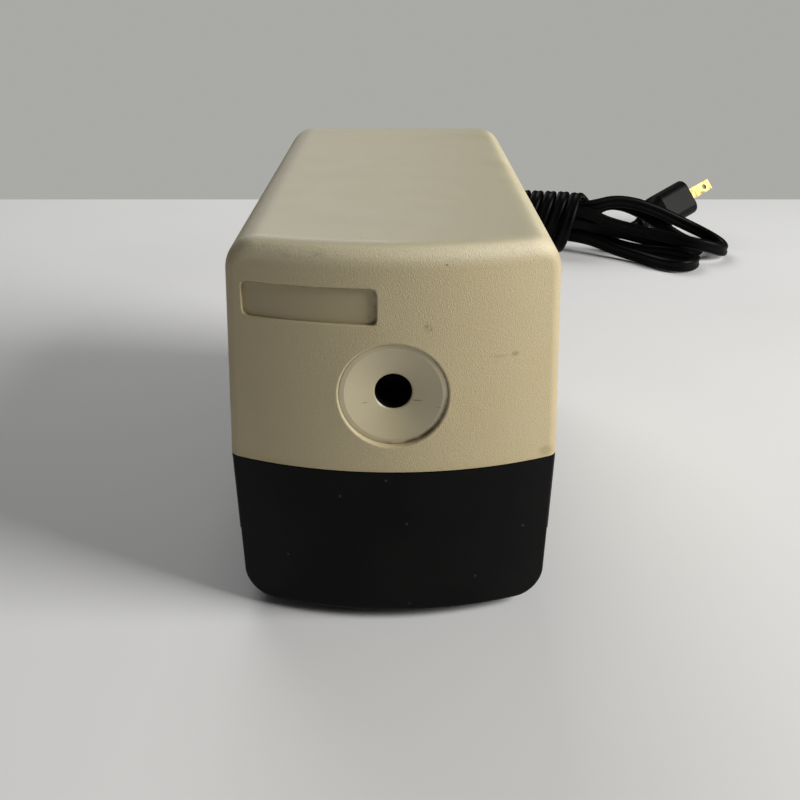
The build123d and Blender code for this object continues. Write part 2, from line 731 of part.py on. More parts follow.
# Gearbox plates with feet, held apart by four spacers
with BuildPart() as gear_plate_front:
    with BuildSketch(Plane.XZ.offset(-FRONT_PLATE_Y[1])):
        with Locations((0, (PLATE_FOOT_Z + PLATE_TOP) / 2)):
            Rectangle(2 * PLATE_HALF, PLATE_TOP - PLATE_FOOT_Z)
        with Locations((0, AXIS_Z)):
            Circle(6.03, mode=Mode.SUBTRACT)
        with Locations((IDLER_X, IDLER_Z)):
            Circle(2.03, mode=Mode.SUBTRACT)
        with Locations((-22, AXIS_Z), (22, AXIS_Z), (-21, 18), (21, 18), (-21, 78), (21, 78)):
            Circle(1.6, mode=Mode.SUBTRACT)
    extrude(amount=2)
    with BuildSketch(Plane.XY.offset(PLATE_FOOT_Z)):
        with Locations((0, -5)):
            Rectangle(2 * PLATE_HALF, 14)
        with Locations((-18, -4), (18, -4)):
            Circle(1.6, mode=Mode.SUBTRACT)
    extrude(amount=2)
gear_plate_front.part.label = "gear_plate_front"
export_step(gear_plate_front.part, "parts/gear_plate_front.step")

with BuildPart() as gear_plate_rear:
    with BuildSketch(Plane.XZ.offset(-REAR_PLATE_Y[1])):
        with Locations((0, (PLATE_FOOT_Z + PLATE_TOP) / 2)):
            Rectangle(2 * PLATE_HALF, PLATE_TOP - PLATE_FOOT_Z)
        with Locations((0, AXIS_Z)):
            Circle(6.03, mode=Mode.SUBTRACT)
        with Locations((IDLER_X, IDLER_Z)):
            Circle(2.03, mode=Mode.SUBTRACT)
        with Locations((0, MOTOR_Z)):
            Circle(5.03, mode=Mode.SUBTRACT)
        with Locations((-22, MOTOR_Z), (22, MOTOR_Z), (-21, 18), (21, 18), (-21, 78), (21, 78)):
            Circle(1.6, mode=Mode.SUBTRACT)
    extrude(amount=2)
    with BuildSketch(Plane.XY.offset(PLATE_FOOT_Z)):
        with Locations((0, 17)):
            Rectangle(2 * PLATE_HALF, 14)
        with Locations((-18, 17), (18, 17)):
            Circle(1.6, mode=Mode.SUBTRACT)
    extrude(amount=2)
gear_plate_rear.part.label = "gear_plate_rear"
export_step(gear_plate_rear.part, "parts/gear_plate_rear.step")

with BuildPart() as plate_spacers:
    with BuildSketch(Plane.XZ.offset(-REAR_PLATE_Y[0])):
        with Locations((-21, 18), (21, 18), (-21, 78), (21, 78)):
            Circle(3.2)
    extrude(amount=20)
    with BuildSketch(Plane.XZ.offset(-14)):
        with Locations((-21, 18), (21, 18), (-21, 78), (21, 78)):
            Circle(1.5)
    extrude(amount=27.5)
plate_spacers.part.label = "plate_spacers"
export_step(plate_spacers.part, "parts/plate_spacers.step")

# Bronze bushes of the output shaft
with BuildPart() as output_bushes:
    with BuildSketch(Plane.XZ.offset(9.5)):
        with Locations((0, AXIS_Z)):
            Circle(6)
            Circle(4.06, mode=Mode.SUBTRACT)
    extrude(amount=2.5)
    with BuildSketch(Plane.XZ.offset(12)):
        with Locations((0, AXIS_Z)):
            Circle(8)
            Circle(4.06, mode=Mode.SUBTRACT)
    extrude(amount=1.2)
    with BuildSketch(Plane.XZ.offset(-12.5)):
        with Locations((0, AXIS_Z)):
            Circle(6)
            Circle(4.06, mode=Mode.SUBTRACT)
    extrude(amount=2.5)
    with BuildSketch(Plane.XZ.offset(-10)):
        with Locations((0, AXIS_Z)):
            Circle(8)
            Circle(4.06, mode=Mode.SUBTRACT)
    extrude(amount=1.2)
output_bushes.part.label = "output_bushes"
export_step(output_bushes.part, "parts/output_bushes.step")

# Screws of the plates' feet and of the frame's arms
with BuildPart() as chassis_screws:
    for foot_y in (-4, 17):
        with BuildSketch(Plane.XY.offset(10)):
            with Locations((-18, foot_y), (18, foot_y)):
                Circle(2.8)
        extrude(amount=1.8)
        with BuildSketch(Plane.XY.offset(4.6)):
            with Locations((-18, foot_y), (18, foot_y)):
                Circle(1.35)
        extrude(amount=5.4)
chassis_screws.part.label = "chassis_screws"
export_step(chassis_screws.part, "parts/chassis_screws.step")

with BuildPart() as frame_screws:
    with BuildSketch(Plane.XZ.offset(8.2)):
        with Locations((-22, AXIS_Z), (22, AXIS_Z)):
            Circle(2.7)
    extrude(amount=1.8)
    with BuildSketch(Plane.XZ.offset(10)):
        with Locations((-22, AXIS_Z), (22, AXIS_Z)):
            Circle(1.4)
    extrude(amount=10)
frame_screws.part.label = "frame_screws"
export_step(frame_screws.part, "parts/frame_screws.step")

# Motor: a lamination stack with the rotor's bore low and the winding on the top leg
with BuildPart() as stator_stack:
    with BuildSketch(Plane.XZ.offset(-STACK_Y[1])):
        with Locations((0, 44)):
            RectangleRounded(56, 62, 5)
        with Locations((0, MOTOR_Z)):
            Circle(BORE_R, mode=Mode.SUBTRACT)
        with Locations((0, 55.75)):
            Rectangle(34, 12.5, mode=Mode.SUBTRACT)
        with Locations((-22, MOTOR_Z), (22, MOTOR_Z)):
            Circle(1.7, mode=Mode.SUBTRACT)
    extrude(amount=STACK_Y[1] - STACK_Y[0])
stator_stack.part.label = "stator_stack"
export_step(stator_stack.part, "parts/stator_stack.step")

with BuildPart() as coil_bobbin:
    for side in (-1, 1):
        with BuildSketch(Plane.YZ.offset(15.25 * side - 0.75)):
            with Locations((34, 68.5)):
                RectangleRounded(38, 32, 4)
                Rectangle(20.2, 13.2, mode=Mode.SUBTRACT)
        extrude(amount=1.5)
    with BuildSketch(Plane.YZ.offset(-14.5)):
        with Locations((34, 68.5)):
            Rectangle(22.2, 15.2)
            Rectangle(20.2, 13.2, mode=Mode.SUBTRACT)
    extrude(amount=29)
coil_bobbin.part.label = "coil_bobbin"
export_step(coil_bobbin.part, "parts/coil_bobbin.step")

with BuildPart() as field_coil:
    with BuildSketch(Plane.YZ.offset(-14.45)):
        with Locations((34, 68.5)):
            RectangleRounded(36.6, 30.4, 7)
            Rectangle(22.3, 15.3, mode=Mode.SUBTRACT)
    extrude(amount=28.9)
field_coil.part.label = "field_coil"
export_step(field_coil.part, "parts/field_coil.step")

with BuildPart() as rotor_core:
    with BuildSketch(Plane.XZ.offset(-STACK_Y[1] - 2)):
        with Locations((0, MOTOR_Z)):
            Circle(ROTOR_R)
            Circle(2.02, mode=Mode.SUBTRACT)
    extrude(amount=STACK_Y[1] - STACK_Y[0] + 4)
rotor_core.part.label = "rotor_core"
export_step(rotor_core.part, "parts/rotor_core.step")

with BuildPart() as rotor_shaft:
    with BuildSketch(Plane.XZ.offset(-56)):
        with Locations((0, MOTOR_Z)):
            Circle(2)
    extrude(amount=56.5)
rotor_shaft.part.label = "rotor_shaft"
export_step(rotor_shaft.part, "parts/rotor_shaft.step")

with BuildPart() as motor_pinion:
    with BuildSketch(across(0, 6.6, MOTOR_Z)):
        with BuildLine():
            Polyline(
                *gear_outline(MOTOR_TEETH, MOTOR_MODULE, MOTOR_PHASE + 180 + 180 / MOTOR_TEETH),
                close=True,
            )
        make_face()
        Circle(2.02, mode=Mode.SUBTRACT)
    extrude(amount=6.2)
motor_pinion.part.label = "motor_pinion"
export_step(motor_pinion.part, "parts/motor_pinion.step")

with BuildPart() as motor_bearings:
    with BuildSketch(Plane.XZ.offset(-16)):
        with Locations((0, MOTOR_Z)):
            Circle(5)
            Circle(2.05, mode=Mode.SUBTRACT)
    extrude(amount=6)
    with BuildSketch(Plane.XZ.offset(-53.5)):
        with Locations((0, MOTOR_Z)):
            Circle(5)
            Circle(2.05, mode=Mode.SUBTRACT)
    extrude(amount=5.5)
motor_bearings.part.label = "motor_bearings"
export_step(motor_bearings.part, "parts/motor_bearings.step")

with BuildPart() as motor_bracket:
    with BuildSketch(Plane.XZ.offset(-52)):
        with Locations((0, MOTOR_Z)):
            RectangleRounded(53, 15, 5)
            Circle(5.03, mode=Mode.SUBTRACT)
        with Locations((-22, MOTOR_Z), (22, MOTOR_Z)):
            Circle(1.6, mode=Mode.SUBTRACT)
    extrude(amount=2.5)
motor_bracket.part.label = "motor_bracket"
export_step(motor_bracket.part, "parts/motor_bracket.step")

with BuildPart() as motor_sleeves:
    for sleeve_y, sleeve_length in ((24.0, 12.0), (49.5, 5.5)):
        with BuildSketch(Plane.XZ.offset(-sleeve_y)):
            with Locations((-22, MOTOR_Z), (22, MOTOR_Z)):
                Circle(3.2)
                Circle(1.6, mode=Mode.SUBTRACT)
        extrude(amount=sleeve_length)
motor_sleeves.part.label = "motor_sleeves"
export_step(motor_sleeves.part, "parts/motor_sleeves.step")

with BuildPart() as motor_bolts:
    with BuildSketch(Plane.XZ.offset(-54)):
        with Locations((-22, MOTOR_Z), (22, MOTOR_Z)):
            Circle(2.8)
    extrude(amount=2)
    with BuildSketch(Plane.XZ.offset(-52)):
        with Locations((-22, MOTOR_Z), (22, MOTOR_Z)):
            Circle(1.5)
    extrude(amount=44.5)
    with BuildSketch(Plane.XZ.offset(-10)):
        with Locations((-22, MOTOR_Z), (22, MOTOR_Z)):
            RegularPolygon(2.9, 6)
    extrude(amount=1.9)
motor_bolts.part.label = "motor_bolts"
export_step(motor_bolts.part, "parts/motor_bolts.step")

# Start switch under the frame's shelf, its lever reaching into the pencil's way
with BuildPart() as switch_body:
    with BuildSketch(Plane.XZ.offset(61.6)):
        with Locations((16, 77)):
            Rectangle(20, 10)
    extrude(amount=6.4)
    for ear_y in (61.6, 67.0):
        with BuildSketch(Plane.XZ.offset(ear_y)):
            with Locations((24.6, 70.2)):
                Rectangle(2.8, 6.4)
        extrude(amount=1.0)
    with BuildSketch(Plane.XZ.offset(61.6)):
        with Locations((24.6, 68.4)):
            Circle(0.7)
    extrude(amount=6.4)
    with BuildSketch(Plane.XY.offset(71)):
        with Locations((18, -64.8)):
            Circle(1.3)
    extrude(amount=7.2, mode=Mode.SUBTRACT)
    with BuildSketch(Plane.XY.offset(79)):
        with Locations((9, -64.8), (19, -64.8)):
            Circle(1.3)
    extrude(amount=4, mode=Mode.SUBTRACT)
switch_body.part.label = "switch_body"
export_step(switch_body.part, "parts/switch_body.step")

with BuildPart() as switch_lever:
    with BuildSketch(Plane.XZ.offset(62.8)) as lever_side:
        with Locations((12, 68.4)):
            Rectangle(25.2, 0.9)
        with Locations((24.6, 68.4)):
            Circle(1.4)
        with Locations((0, 66.9)):
            SlotOverall(4.6, 3.4)
        with Locations((24.6, 68.4)):
            Circle(0.75, mode=Mode.SUBTRACT)
    extrude(amount=4)
switch_lever.part.label = "switch_lever"
export_step(switch_lever.part, "parts/switch_lever.step")

with BuildPart() as switch_plunger:
    with BuildSketch(Plane.XY.offset(69.15)):
        with Locations((18, -64.8)):
            Circle(1.22)
    extrude(amount=7.6)
switch_plunger.part.label = "switch_plunger"
export_step(switch_plunger.part, "parts/switch_plunger.step")

with BuildPart() as switch_screws:
    with BuildSketch(Plane.XY.offset(84.5)):
        with Locations((9, -64.8), (19, -64.8)):
            Circle(2.4)
    extrude(amount=1.5)
    with BuildSketch(Plane.XY.offset(79.4)):
        with Locations((9, -64.8), (19, -64.8)):
            Circle(1.2)
    extrude(amount=5.1)
switch_screws.part.label = "switch_screws"
export_step(switch_screws.part, "parts/switch_screws.step")

# Three inner leads: inlet to switch, inlet to winding, and switch to winding
with BuildPart() as inner_leads:
    lead_routes = (
        (
            (12.5, 75.4, 14), (12.5, 70, 16), (13, 64, 40), (20, 62, 70), (28, 56, 89), (29, 20, 90.5),
            (29, -30, 90.5), (29, -56, 88), (29.4, -64.8, 82), (26.7, -64.8, 79.8),
        ),
        ((17.5, 75.4, 14), (17.5, 70, 16), (17, 67.5, 40), (9, 67, 66), (6, 59, 72), (6, 53.2, 72)),
        (
            (26.5, -64.8, 75), (30, -64.4, 75.3), (32.5, -56, 78), (32.5, -20, 80), (32.5, 30, 80),
            (31, 61, 80), (10, 67, 78), (-4, 64, 75), (-6, 57, 74), (-6, 53.2, 74),
        ),
    )
    for lead_route in lead_routes:
        with BuildLine() as lead_line:
            FilletPolyline(*lead_route, radius=1.8)
        with BuildSketch(Plane(origin=lead_line.line @ 0, z_dir=lead_line.line % 0)):
            Circle(1.0)
        sweep(path=lead_line.line)
inner_leads.part.label = "inner_leads"
export_step(inner_leads.part, "parts/inner_leads.step")

# Strain relief: a flange inside the back wall and a tapered sleeve outside it
FLANGE_Y = BACK_Y - 3.8
with BuildPart() as strain_relief:
    with BuildSketch(across(GLAND_X, FLANGE_Y, GLAND_Z)):
        RectangleRounded(17, 12, 3)
    extrude(amount=2.4)
    with BuildSketch(across(GLAND_X, BACK_Y + 0.6, GLAND_Z)):
        Circle(5.0)
    extrude(amount=BACK_Y + 0.6 - FLANGE_Y)
    with BuildSketch(across(GLAND_X, BACK_Y + 0.4, GLAND_Z)):
        Circle(6.2)
    with BuildSketch(across(GLAND_X, GLAND_END_Y, GLAND_Z)):
        Circle(3.6)
    loft()
strain_relief.part.label = "strain_relief"
export_step(strain_relief.part, "parts/strain_relief.step")

# The lead's route. A place on the hank is given along it (u), across it (v) and by its height.
turn_angle = radians(HANK_TURN)
tilt_angle = radians(HANK_TILT)


def hank_place(u, v, z):
    """Point over the table, u along the hank and v across it."""
    return Vector(
        HANK_CENTRE[0] + u * cos(turn_angle) - v * sin(turn_angle),
        HANK_CENTRE[1] + u * sin(turn_angle) + v * cos(turn_angle),
        z,
    )


def hank_heading(degrees_across, climb=0.0):
    """Direction along the hank, turned towards +v by an angle, with a climb per unit length."""
    angle = turn_angle + radians(degrees_across)
    return Vector(cos(angle), sin(angle), climb).normalized()


def waist_height(v, w):
    """Height of a strand at the waist, whose section leans by the hank's tilt."""
    return HANK_CENTRE[2] + v * sin(tilt_angle) + w * cos(tilt_angle)


def waist_place(u, v, w):
    """Point at the waist, v and w measured in the leaning section."""
    return hank_place(u, v * cos(tilt_angle) - w * sin(tilt_angle), waist_height(v, w))


# Plug's own directions: along the blades, across the broad face, and out of that face
heading_angle = radians(PLUG_HEADING)
pitch_angle = radians(PLUG_PITCH)
roll_angle = radians(PLUG_ROLL)
plug_axis = Vector(
    cos(heading_angle) * cos(pitch_angle),
    sin(heading_angle) * cos(pitch_angle),
    sin(pitch_angle),
)
plug_side = Vector(sin(heading_angle), -cos(heading_angle), 0)
plug_up = plug_side.cross(plug_axis)
plug_across = plug_side * cos(roll_angle) - plug_up * sin(roll_angle)
plug_joint = Vector(*PLUG_FACE) - plug_axis * (PLUG_LENGTH + PLUG_SLEEVE)

# Per loop: right end, its sideways lean, how far its front run bows, heights of the front run,
# the front fold, the end, the back fold and the back bulge, and left end
LOOPS = (
    (79.0, -26.5, 13.0, 4.2, 3.8, 3.8, 4.4, 4.6, -70.0),
    (93.0, 10.0, 9.0, 15.0, 4.2, 4.6, 9.5, 22.5, -74.0),
    (100.0, 14.5, 9.0, 21.6, 11.4, 12.0, 17.4, 30.0, -71.0),
)
start_way = hank_heading(40)
hank_start = hank_place(-64, -30, 3.9) - start_way * CORD_D
route = [(hank_start, start_way), (hank_start + start_way * CORD_D, start_way)]
for loop, (end_u, lean, bow, z_run, z_front, z_end, z_back, z_bulge, left_u) in enumerate(LOOPS):
    w = (loop - 1) * LAYER
    fan = degrees(atan2(lean, end_u - WAIST_HALF))
    middle_u = 46.0
    middle_v = lean * 0.36
    left_z = 4.0 + loop * LAYER
    route.append((waist_place(-WAIST_HALF, -WAIST_V, w), hank_heading(0)))
    route.append((waist_place(WAIST_HALF, -WAIST_V, w), hank_heading(0)))
    route.append((hank_place(middle_u, middle_v - bow, z_run), hank_heading(fan - 10)))
    route.append((hank_place(end_u - FOLD_R, lean - FOLD_R, z_front), hank_heading(fan * 0.35)))
    route.append((hank_place(end_u, lean, z_end), hank_heading(90)))
    route.append((hank_place(end_u - FOLD_R, lean + FOLD_R, z_back), hank_heading(180 + fan * 0.35)))
    route.append((hank_place(middle_u, middle_v + 9.0, z_bulge), hank_heading(180 + fan + 10)))
    route.append((waist_place(WAIST_HALF, WAIST_V, w), hank_heading(180)))
    route.append((waist_place(-WAIST_HALF, WAIST_V, w), hank_heading(180)))
    route.append((hank_place(left_u + FOLD_R, FOLD_R, left_z + 2.5), hank_heading(180)))
    route.append((hank_place(left_u, 0, left_z + 4.8), hank_heading(270)))
    route.append((hank_place(left_u + FOLD_R, -FOLD_R, left_z + 7.2), hank_heading(360)))
# The last run climbs onto the waist, turns into the wraps and leaves them low at the back
wrap_start = -WRAP_PITCH * WRAPS / 2
route.append((waist_place(-27.0, -3.0, 19.4), hank_heading(46, 0.05)))
for quarter in range(1, 4 * WRAPS + 2):
    u = wrap_start + WRAP_PITCH * quarter / 4
    v = (0, WRAP_R, 0, -WRAP_R)[quarter % 4]
    w = (WRAP_R + WRAP_SIDE, 0, -WRAP_R - WRAP_SIDE, 0)[quarter % 4]
    run_v = (1, 0, -1, 0)[quarter % 4]
    run_w = (0, -1, 0, 1)[quarter % 4]
    ahead = waist_place(u + 0.08, v + run_v, w + run_w) - waist_place(u, v, w)
    route.append((waist_place(u, v, w), ahead.normalized()))
route.append((hank_place(32.0, 18.6, 7.0), hank_heading(18, -0.06)))
route.append((plug_joint - plug_axis * CORD_D, plug_axis))
route.append((plug_joint, plug_axis))


def biarc_edges(place, heading, next_place, next_heading):
    """Two tangent arcs, or straight lines, from one place and heading to the next."""
    chord = next_place - place
    both = heading + next_heading
    turn = 2 * (1 - heading.dot(next_heading))
    if turn > 1e-9:
        lean = chord.dot(both)
        reach = (-lean + sqrt(lean * lean + turn * chord.dot(chord))) / turn
    else:
        reach = chord.dot(chord) / (4 * chord.dot(next_heading))
    leave = place + heading * reach
    meet = next_place - next_heading * reach
    middle = (leave + meet) * 0.5
    edges = []
    for start, way, end in ((place, heading, middle), (middle, meet - leave, next_place)):
        way = way.normalized()
        span = end - start
        side = (span - way * span.dot(way)).length
        if side < 1e-4:
            edges.append(Edge.make_line(start, end))
        else:
            edges.append(Edge.make_tangent_arc(start, way, end))
    return edges


hank_edges = []
for (place, heading), (next_place, next_heading) in zip(route, route[1:]):
    hank_edges += biarc_edges(place, heading, next_place, next_heading)
hank_length = sum(edge.length for edge in hank_edges)

# Least gap of the hank's tube to itself, on points about 1.5 mm apart
hank_points = []
travelled = 0.0
for edge in hank_edges:
    steps = max(2, round(edge.length / 1.5))
    for step in range(steps):
        point = edge @ (step / steps)
        hank_points.append((travelled + edge.length * step / steps, point.X, point.Y, point.Z))
    travelled += edge.length
least_gap = 1000.0
for index, (reach, x, y, z) in enumerate(hank_points):
    for other_reach, other_x, other_y, other_z in hank_points[index + 1:]:
        if other_reach - reach > 20:
            apart = (other_x - x) ** 2 + (other_y - y) ** 2 + (other_z - z) ** 2
            least_gap = min(least_gap, sqrt(apart) - CORD_D)
print("hank length", round(hank_length, 1), "edges", len(hank_edges))
print("hank least gap to itself", round(least_gap, 2))
print("hank tightest arc", round(min(e.radius for e in hank_edges if e.geom_type == GeomType.CIRCLE), 2))
print("hank lowest centre", round(min(point[3] for point in hank_points), 2))

with BuildPart() as cord_hank:
    with BuildLine() as hank_line:
        add(hank_edges)
    with BuildSketch(Plane(origin=hank_start, z_dir=start_way)):
        Circle(CORD_D / 2)
    sweep(path=hank_line.line)
cord_hank.part.label = "cord_hank"
export_step(cord_hank.part, "parts/cord_hank.step")
section = pi * CORD_D * CORD_D / 4
print("hank volume over section times length", round(cord_hank.part.volume / (section * hank_length), 4))

# Tail of the lead from the strain relief, down to the table and round to the hank
tail_points = [
    Vector(GLAND_X, GLAND_END_Y, GLAND_Z),
    Vector(15, 128, 14),
    Vector(4.2, 153.4, 8.5),
    Vector(-6.8, 177, 4.4),
    Vector(-11, 200.6, 3.6),
    Vector(-7.2, 222.3, 3.5),
    hank_start - start_way * 14.0,
    hank_start,
]
tail_runs = [end - start for start, end in zip(tail_points, tail_points[1:])]
tail_radii = []
for run, next_run in zip(tail_runs, tail_runs[1:]):
    half_turn = radians(run.get_angle(next_run)) / 2
    tail_radii.append(0.45 * min(run.length, next_run.length) / tan(half_turn))
print("tail runs", [round(run.length, 1) for run in tail_runs])
print("tail radii", [round(radius, 1) for radius in tail_radii])
with BuildPart() as cord_tail:
    with BuildLine() as tail_line:
        FilletPolyline(*tail_points, radius=tail_radii)
    with BuildSketch(Plane(origin=tail_points[0], z_dir=(0, 1, 0))):
        Circle(CORD_D / 2)
    sweep(path=tail_line.line)
cord_tail.part.label = "cord_tail"
export_step(cord_tail.part, "parts/cord_tail.step")
tail_length = sum(edge.length for edge in tail_line.edges())
print("tail length", round(tail_length, 1))
print("tail volume over section times length", round(cord_tail.part.volume / (section * tail_length), 4))

# Plug: a rounded block that tapers to a sleeve, and two flat blades set into its face
plug_plane = Plane(origin=PLUG_FACE, x_dir=plug_across, z_dir=plug_axis)
with BuildPart() as plug_body:
    with BuildSketch(plug_plane.offset(-0.76 * PLUG_LENGTH)):
        RectangleRounded(PLUG_WIDTH, PLUG_DEPTH, 5.5)
    extrude(amount=0.76 * PLUG_LENGTH)
    fillet(plug_body.faces().sort_by(Axis(PLUG_FACE, plug_axis))[-1].edges(), 1.2)
    with BuildSketch(plug_plane.offset(-0.76 * PLUG_LENGTH)):
        RectangleRounded(PLUG_WIDTH, PLUG_DEPTH, 5.5)
    with BuildSketch(plug_plane.offset(-PLUG_LENGTH)):
        RectangleRounded(12.4, 11.4, 5.0)
    loft()
    with BuildSketch(plug_plane.offset(-PLUG_LENGTH)):
        Circle(5.2)
    with BuildSketch(plug_plane.offset(-PLUG_LENGTH - PLUG_SLEEVE)):
        Circle(3.7)
    loft()
    with BuildSketch(plug_plane.offset(-7)):
        with Locations((0, BLADE_GAP / 2), (0, -BLADE_GAP / 2)):
            Rectangle(6.35, 1.5)
    extrude(amount=8, mode=Mode.SUBTRACT)
plug_body.part.label = "plug_body"
export_step(plug_body.part, "parts/plug_body.step")

with BuildPart() as plug_blades:
    with BuildSketch(plug_plane.offset(-7)):
        with Locations((0, BLADE_GAP / 2), (0, -BLADE_GAP / 2)):
            Rectangle(6.35, 1.5)
    extrude(amount=24.5)
    chamfer(plug_blades.faces().group_by(Axis(PLUG_FACE, plug_axis))[-1].edges(), 0.4)
    with BuildSketch(Plane(origin=PLUG_FACE, x_dir=plug_across, z_dir=plug_across.cross(plug_axis))):
        with Locations((0, -12), (0, 12)):
            Circle(1.6)
    extrude(amount=20, both=True, mode=Mode.SUBTRACT)
plug_blades.part.label = "plug_blades"
export_step(plug_blades.part, "parts/plug_blades.step")
print("whole lead", round(hank_length + tail_length, 1))
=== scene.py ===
# %% [markdown]
# # An electric pencil sharpener on a table
#
# The sharpener is a cream housing on a black base, with a shavings drawer in front and a mains lead
# tied in a hank behind it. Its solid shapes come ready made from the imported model, in metres, each
# already in its place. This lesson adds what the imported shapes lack: the flat twin lead, the finish
# of every surface, a camera, a table and light.

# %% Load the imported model
import math

import bpy
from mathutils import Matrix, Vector


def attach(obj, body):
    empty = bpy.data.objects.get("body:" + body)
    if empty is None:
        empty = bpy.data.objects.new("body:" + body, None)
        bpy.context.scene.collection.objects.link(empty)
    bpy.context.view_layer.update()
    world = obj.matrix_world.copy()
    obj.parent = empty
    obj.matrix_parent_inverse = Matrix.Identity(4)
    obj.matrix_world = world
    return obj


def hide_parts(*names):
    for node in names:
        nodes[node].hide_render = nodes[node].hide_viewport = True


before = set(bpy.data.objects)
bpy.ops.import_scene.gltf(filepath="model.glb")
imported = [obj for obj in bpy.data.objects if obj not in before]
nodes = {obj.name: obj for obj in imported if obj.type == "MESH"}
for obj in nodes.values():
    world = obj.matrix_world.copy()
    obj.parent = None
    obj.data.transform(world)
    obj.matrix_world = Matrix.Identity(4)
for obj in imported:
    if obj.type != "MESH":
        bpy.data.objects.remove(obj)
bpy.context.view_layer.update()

# %% [markdown]
# ## Camera
#
# A photograph fixes where its lens stood. The edges of the housing and the outline of the dish were
# enough to work out a height of about 15 cm, a distance of about 20 cm from the front and a tilt of
# just under 25 degrees. A 36 mm wide sensor then needs a lens of 42.75 mm. The camera object points
# down its own -Z, so a turn of 90 degrees about X makes it level.

# %% Camera at the photograph's place
LENS_PLACE = (0.00154, -0.27875, 0.15338)
LENS_TILT = 24.746
LENS_LENGTH = 42.75
SENSOR_WIDTH = 36

bpy.ops.object.select_all(action="DESELECT")
bpy.ops.object.camera_add(location=LENS_PLACE, rotation=(math.radians(90 - LENS_TILT), 0, 0))
camera = bpy.context.object
camera.name = "table_camera"
camera.data.sensor_width = SENSOR_WIDTH
camera.data.lens = LENS_LENGTH
camera.data.clip_start = 0.01
bpy.context.scene.camera = camera
print("camera height", round(camera.location.z, 3))

# %% [markdown]
# ## The mains lead: places along the hank
#
# The lead leaves a sleeve at the back, drops to the table and goes into a hank: three loops drawn
# together at a waist, with the lead's last length wound round that waist. Such a shape is easiest to
# give in the hank's own directions: u along it, v across it, and a height. At the waist the strands
# lie in a stack that leans a little, so a second helper takes a place in that leaning stack.

# %% Places in the hank's own directions
MM = 0.001
HANK_MIDDLE = (88.0, 265.0, 17.5)
HANK_TURN = math.radians(-10)
STACK_LEAN = math.radians(5)


def on_hank(u, v, z):
    """A point u along the hank and v across it, at the height z, in millimetres."""
    x = HANK_MIDDLE[0] + u * math.cos(HANK_TURN) - v * math.sin(HANK_TURN)
    y = HANK_MIDDLE[1] + u * math.sin(HANK_TURN) + v * math.cos(HANK_TURN)
    return Vector((x, y, z))


def in_stack(u, v, w):
    """A point at the waist, v across the leaning stack of strands and w up it."""
    height = HANK_MIDDLE[2] + v * math.sin(STACK_LEAN) + w * math.cos(STACK_LEAN)
    return on_hank(u, v * math.cos(STACK_LEAN) - w * math.sin(STACK_LEAN), height)


def heading(angle):
    """A level direction at an angle to the hank, in degrees."""
    turned = HANK_TURN + math.radians(angle)
    return Vector((math.cos(turned), math.sin(turned), 0))


hank_along = heading(0)
stack_up = (in_stack(0, 0, 1) - in_stack(0, 0, 0)).normalized()
print("hank runs along", tuple(round(x, 3) for x in hank_along))

# %% [markdown]
# ## The mains lead: the plug's place
#
# The plug lies behind the hank with its blades pointing away to the right and a little up. Its solid is
# already there. The lead only needs the point where it enters the plug's sleeve, and the direction.

# %% Where the lead enters the plug
PLUG_FACE = Vector((176.15, 305.0, 21.1))
PLUG_TURN = math.radians(32.55)
PLUG_RISE = math.radians(16.7)
PLUG_WITH_SLEEVE = 37.9
LEAD_IN = 11

plug_along = Vector((
    math.cos(PLUG_TURN) * math.cos(PLUG_RISE),
    math.sin(PLUG_TURN) * math.cos(PLUG_RISE),
    math.sin(PLUG_RISE),
))
plug_entry = PLUG_FACE - plug_along * PLUG_WITH_SLEEVE
before_plug = plug_entry - plug_along * LEAD_IN
print("lead enters the plug at", tuple(round(x, 1) for x in plug_entry))

# %% [markdown]
# ## The mains lead: its route
#
# A route is a list of places that the lead passes. The three loops differ in length, in how far they
# fan out and in how high they lie, as loosely gathered loops do: the first lies flat in front, the
# second inside the third, and the third arches up from the waist before it comes down to the table.

# %% Places along the tail and the loops' ends
START_HEADING = 40
LAST_RUN = 19.2

hank_start = on_hank(-64, -30, 3.9)
tail_points = [
    Vector((15, 106, 14)),
    Vector((15, 128, 14)),
    Vector((4.2, 153.4, 8.5)),
    Vector((-6.8, 177, 4.4)),
    Vector((-11, 200.6, 3.6)),
    Vector((-7.2, 222.3, 3.5)),
    hank_start - heading(START_HEADING) * LAST_RUN,
]
# Each right end: front run, front fold, end, back fold and back run, then the left end
loops = (
    (((46, -15.5, 4.1), (69.5, -34, 3.9), (82, -22, 3.9), (70, -10.5, 4.1), (46, -3.2, 4.4)), -70),
    (((44, -0.3, 11.6), (77, -3.5, 4.4), (87, 6, 4.2), (77, 17.0, 6.0), (40, 16.5, 24.3)), -74),
    (((40, -6, 17.4), (85, -11, 10), (100, 3, 4.8), (86, 17.6, 10.9), (46, 10.8, 27)), -71),
)
print("tail places", len(tail_points), "loops", len(loops))

# %% The loops, one after the other
WAIST_LEFT, WAIST_RIGHT = -29, 14
STRAND_SIDE = 3.8
STRAND_STEP = 7.5
LEFT_BOTTOM = 4
LEFT_FOLD = 15.5
LEFT_CLIMB = (2.5, 4.8, 7.2)

route = [hank_start, on_hank(-41, -9, 4.9)]
for layer, (right_end, left) in enumerate(loops):
    w = (layer - 1) * STRAND_STEP
    low = LEFT_BOTTOM + layer * STRAND_STEP
    route += [in_stack(u, -STRAND_SIDE, w) for u in (WAIST_LEFT, WAIST_RIGHT)]
    route += [on_hank(*place) for place in right_end]
    route += [in_stack(u, STRAND_SIDE, w) for u in (WAIST_RIGHT, WAIST_LEFT)]
    route.append(on_hank(left + LEFT_FOLD, LEFT_FOLD, low + LEFT_CLIMB[0]))
    route.append(on_hank(left, 0, low + LEFT_CLIMB[1]))
    route.append(on_hank(left + LEFT_FOLD, -LEFT_FOLD, low + LEFT_CLIMB[2]))
print("places along the loops", len(route))

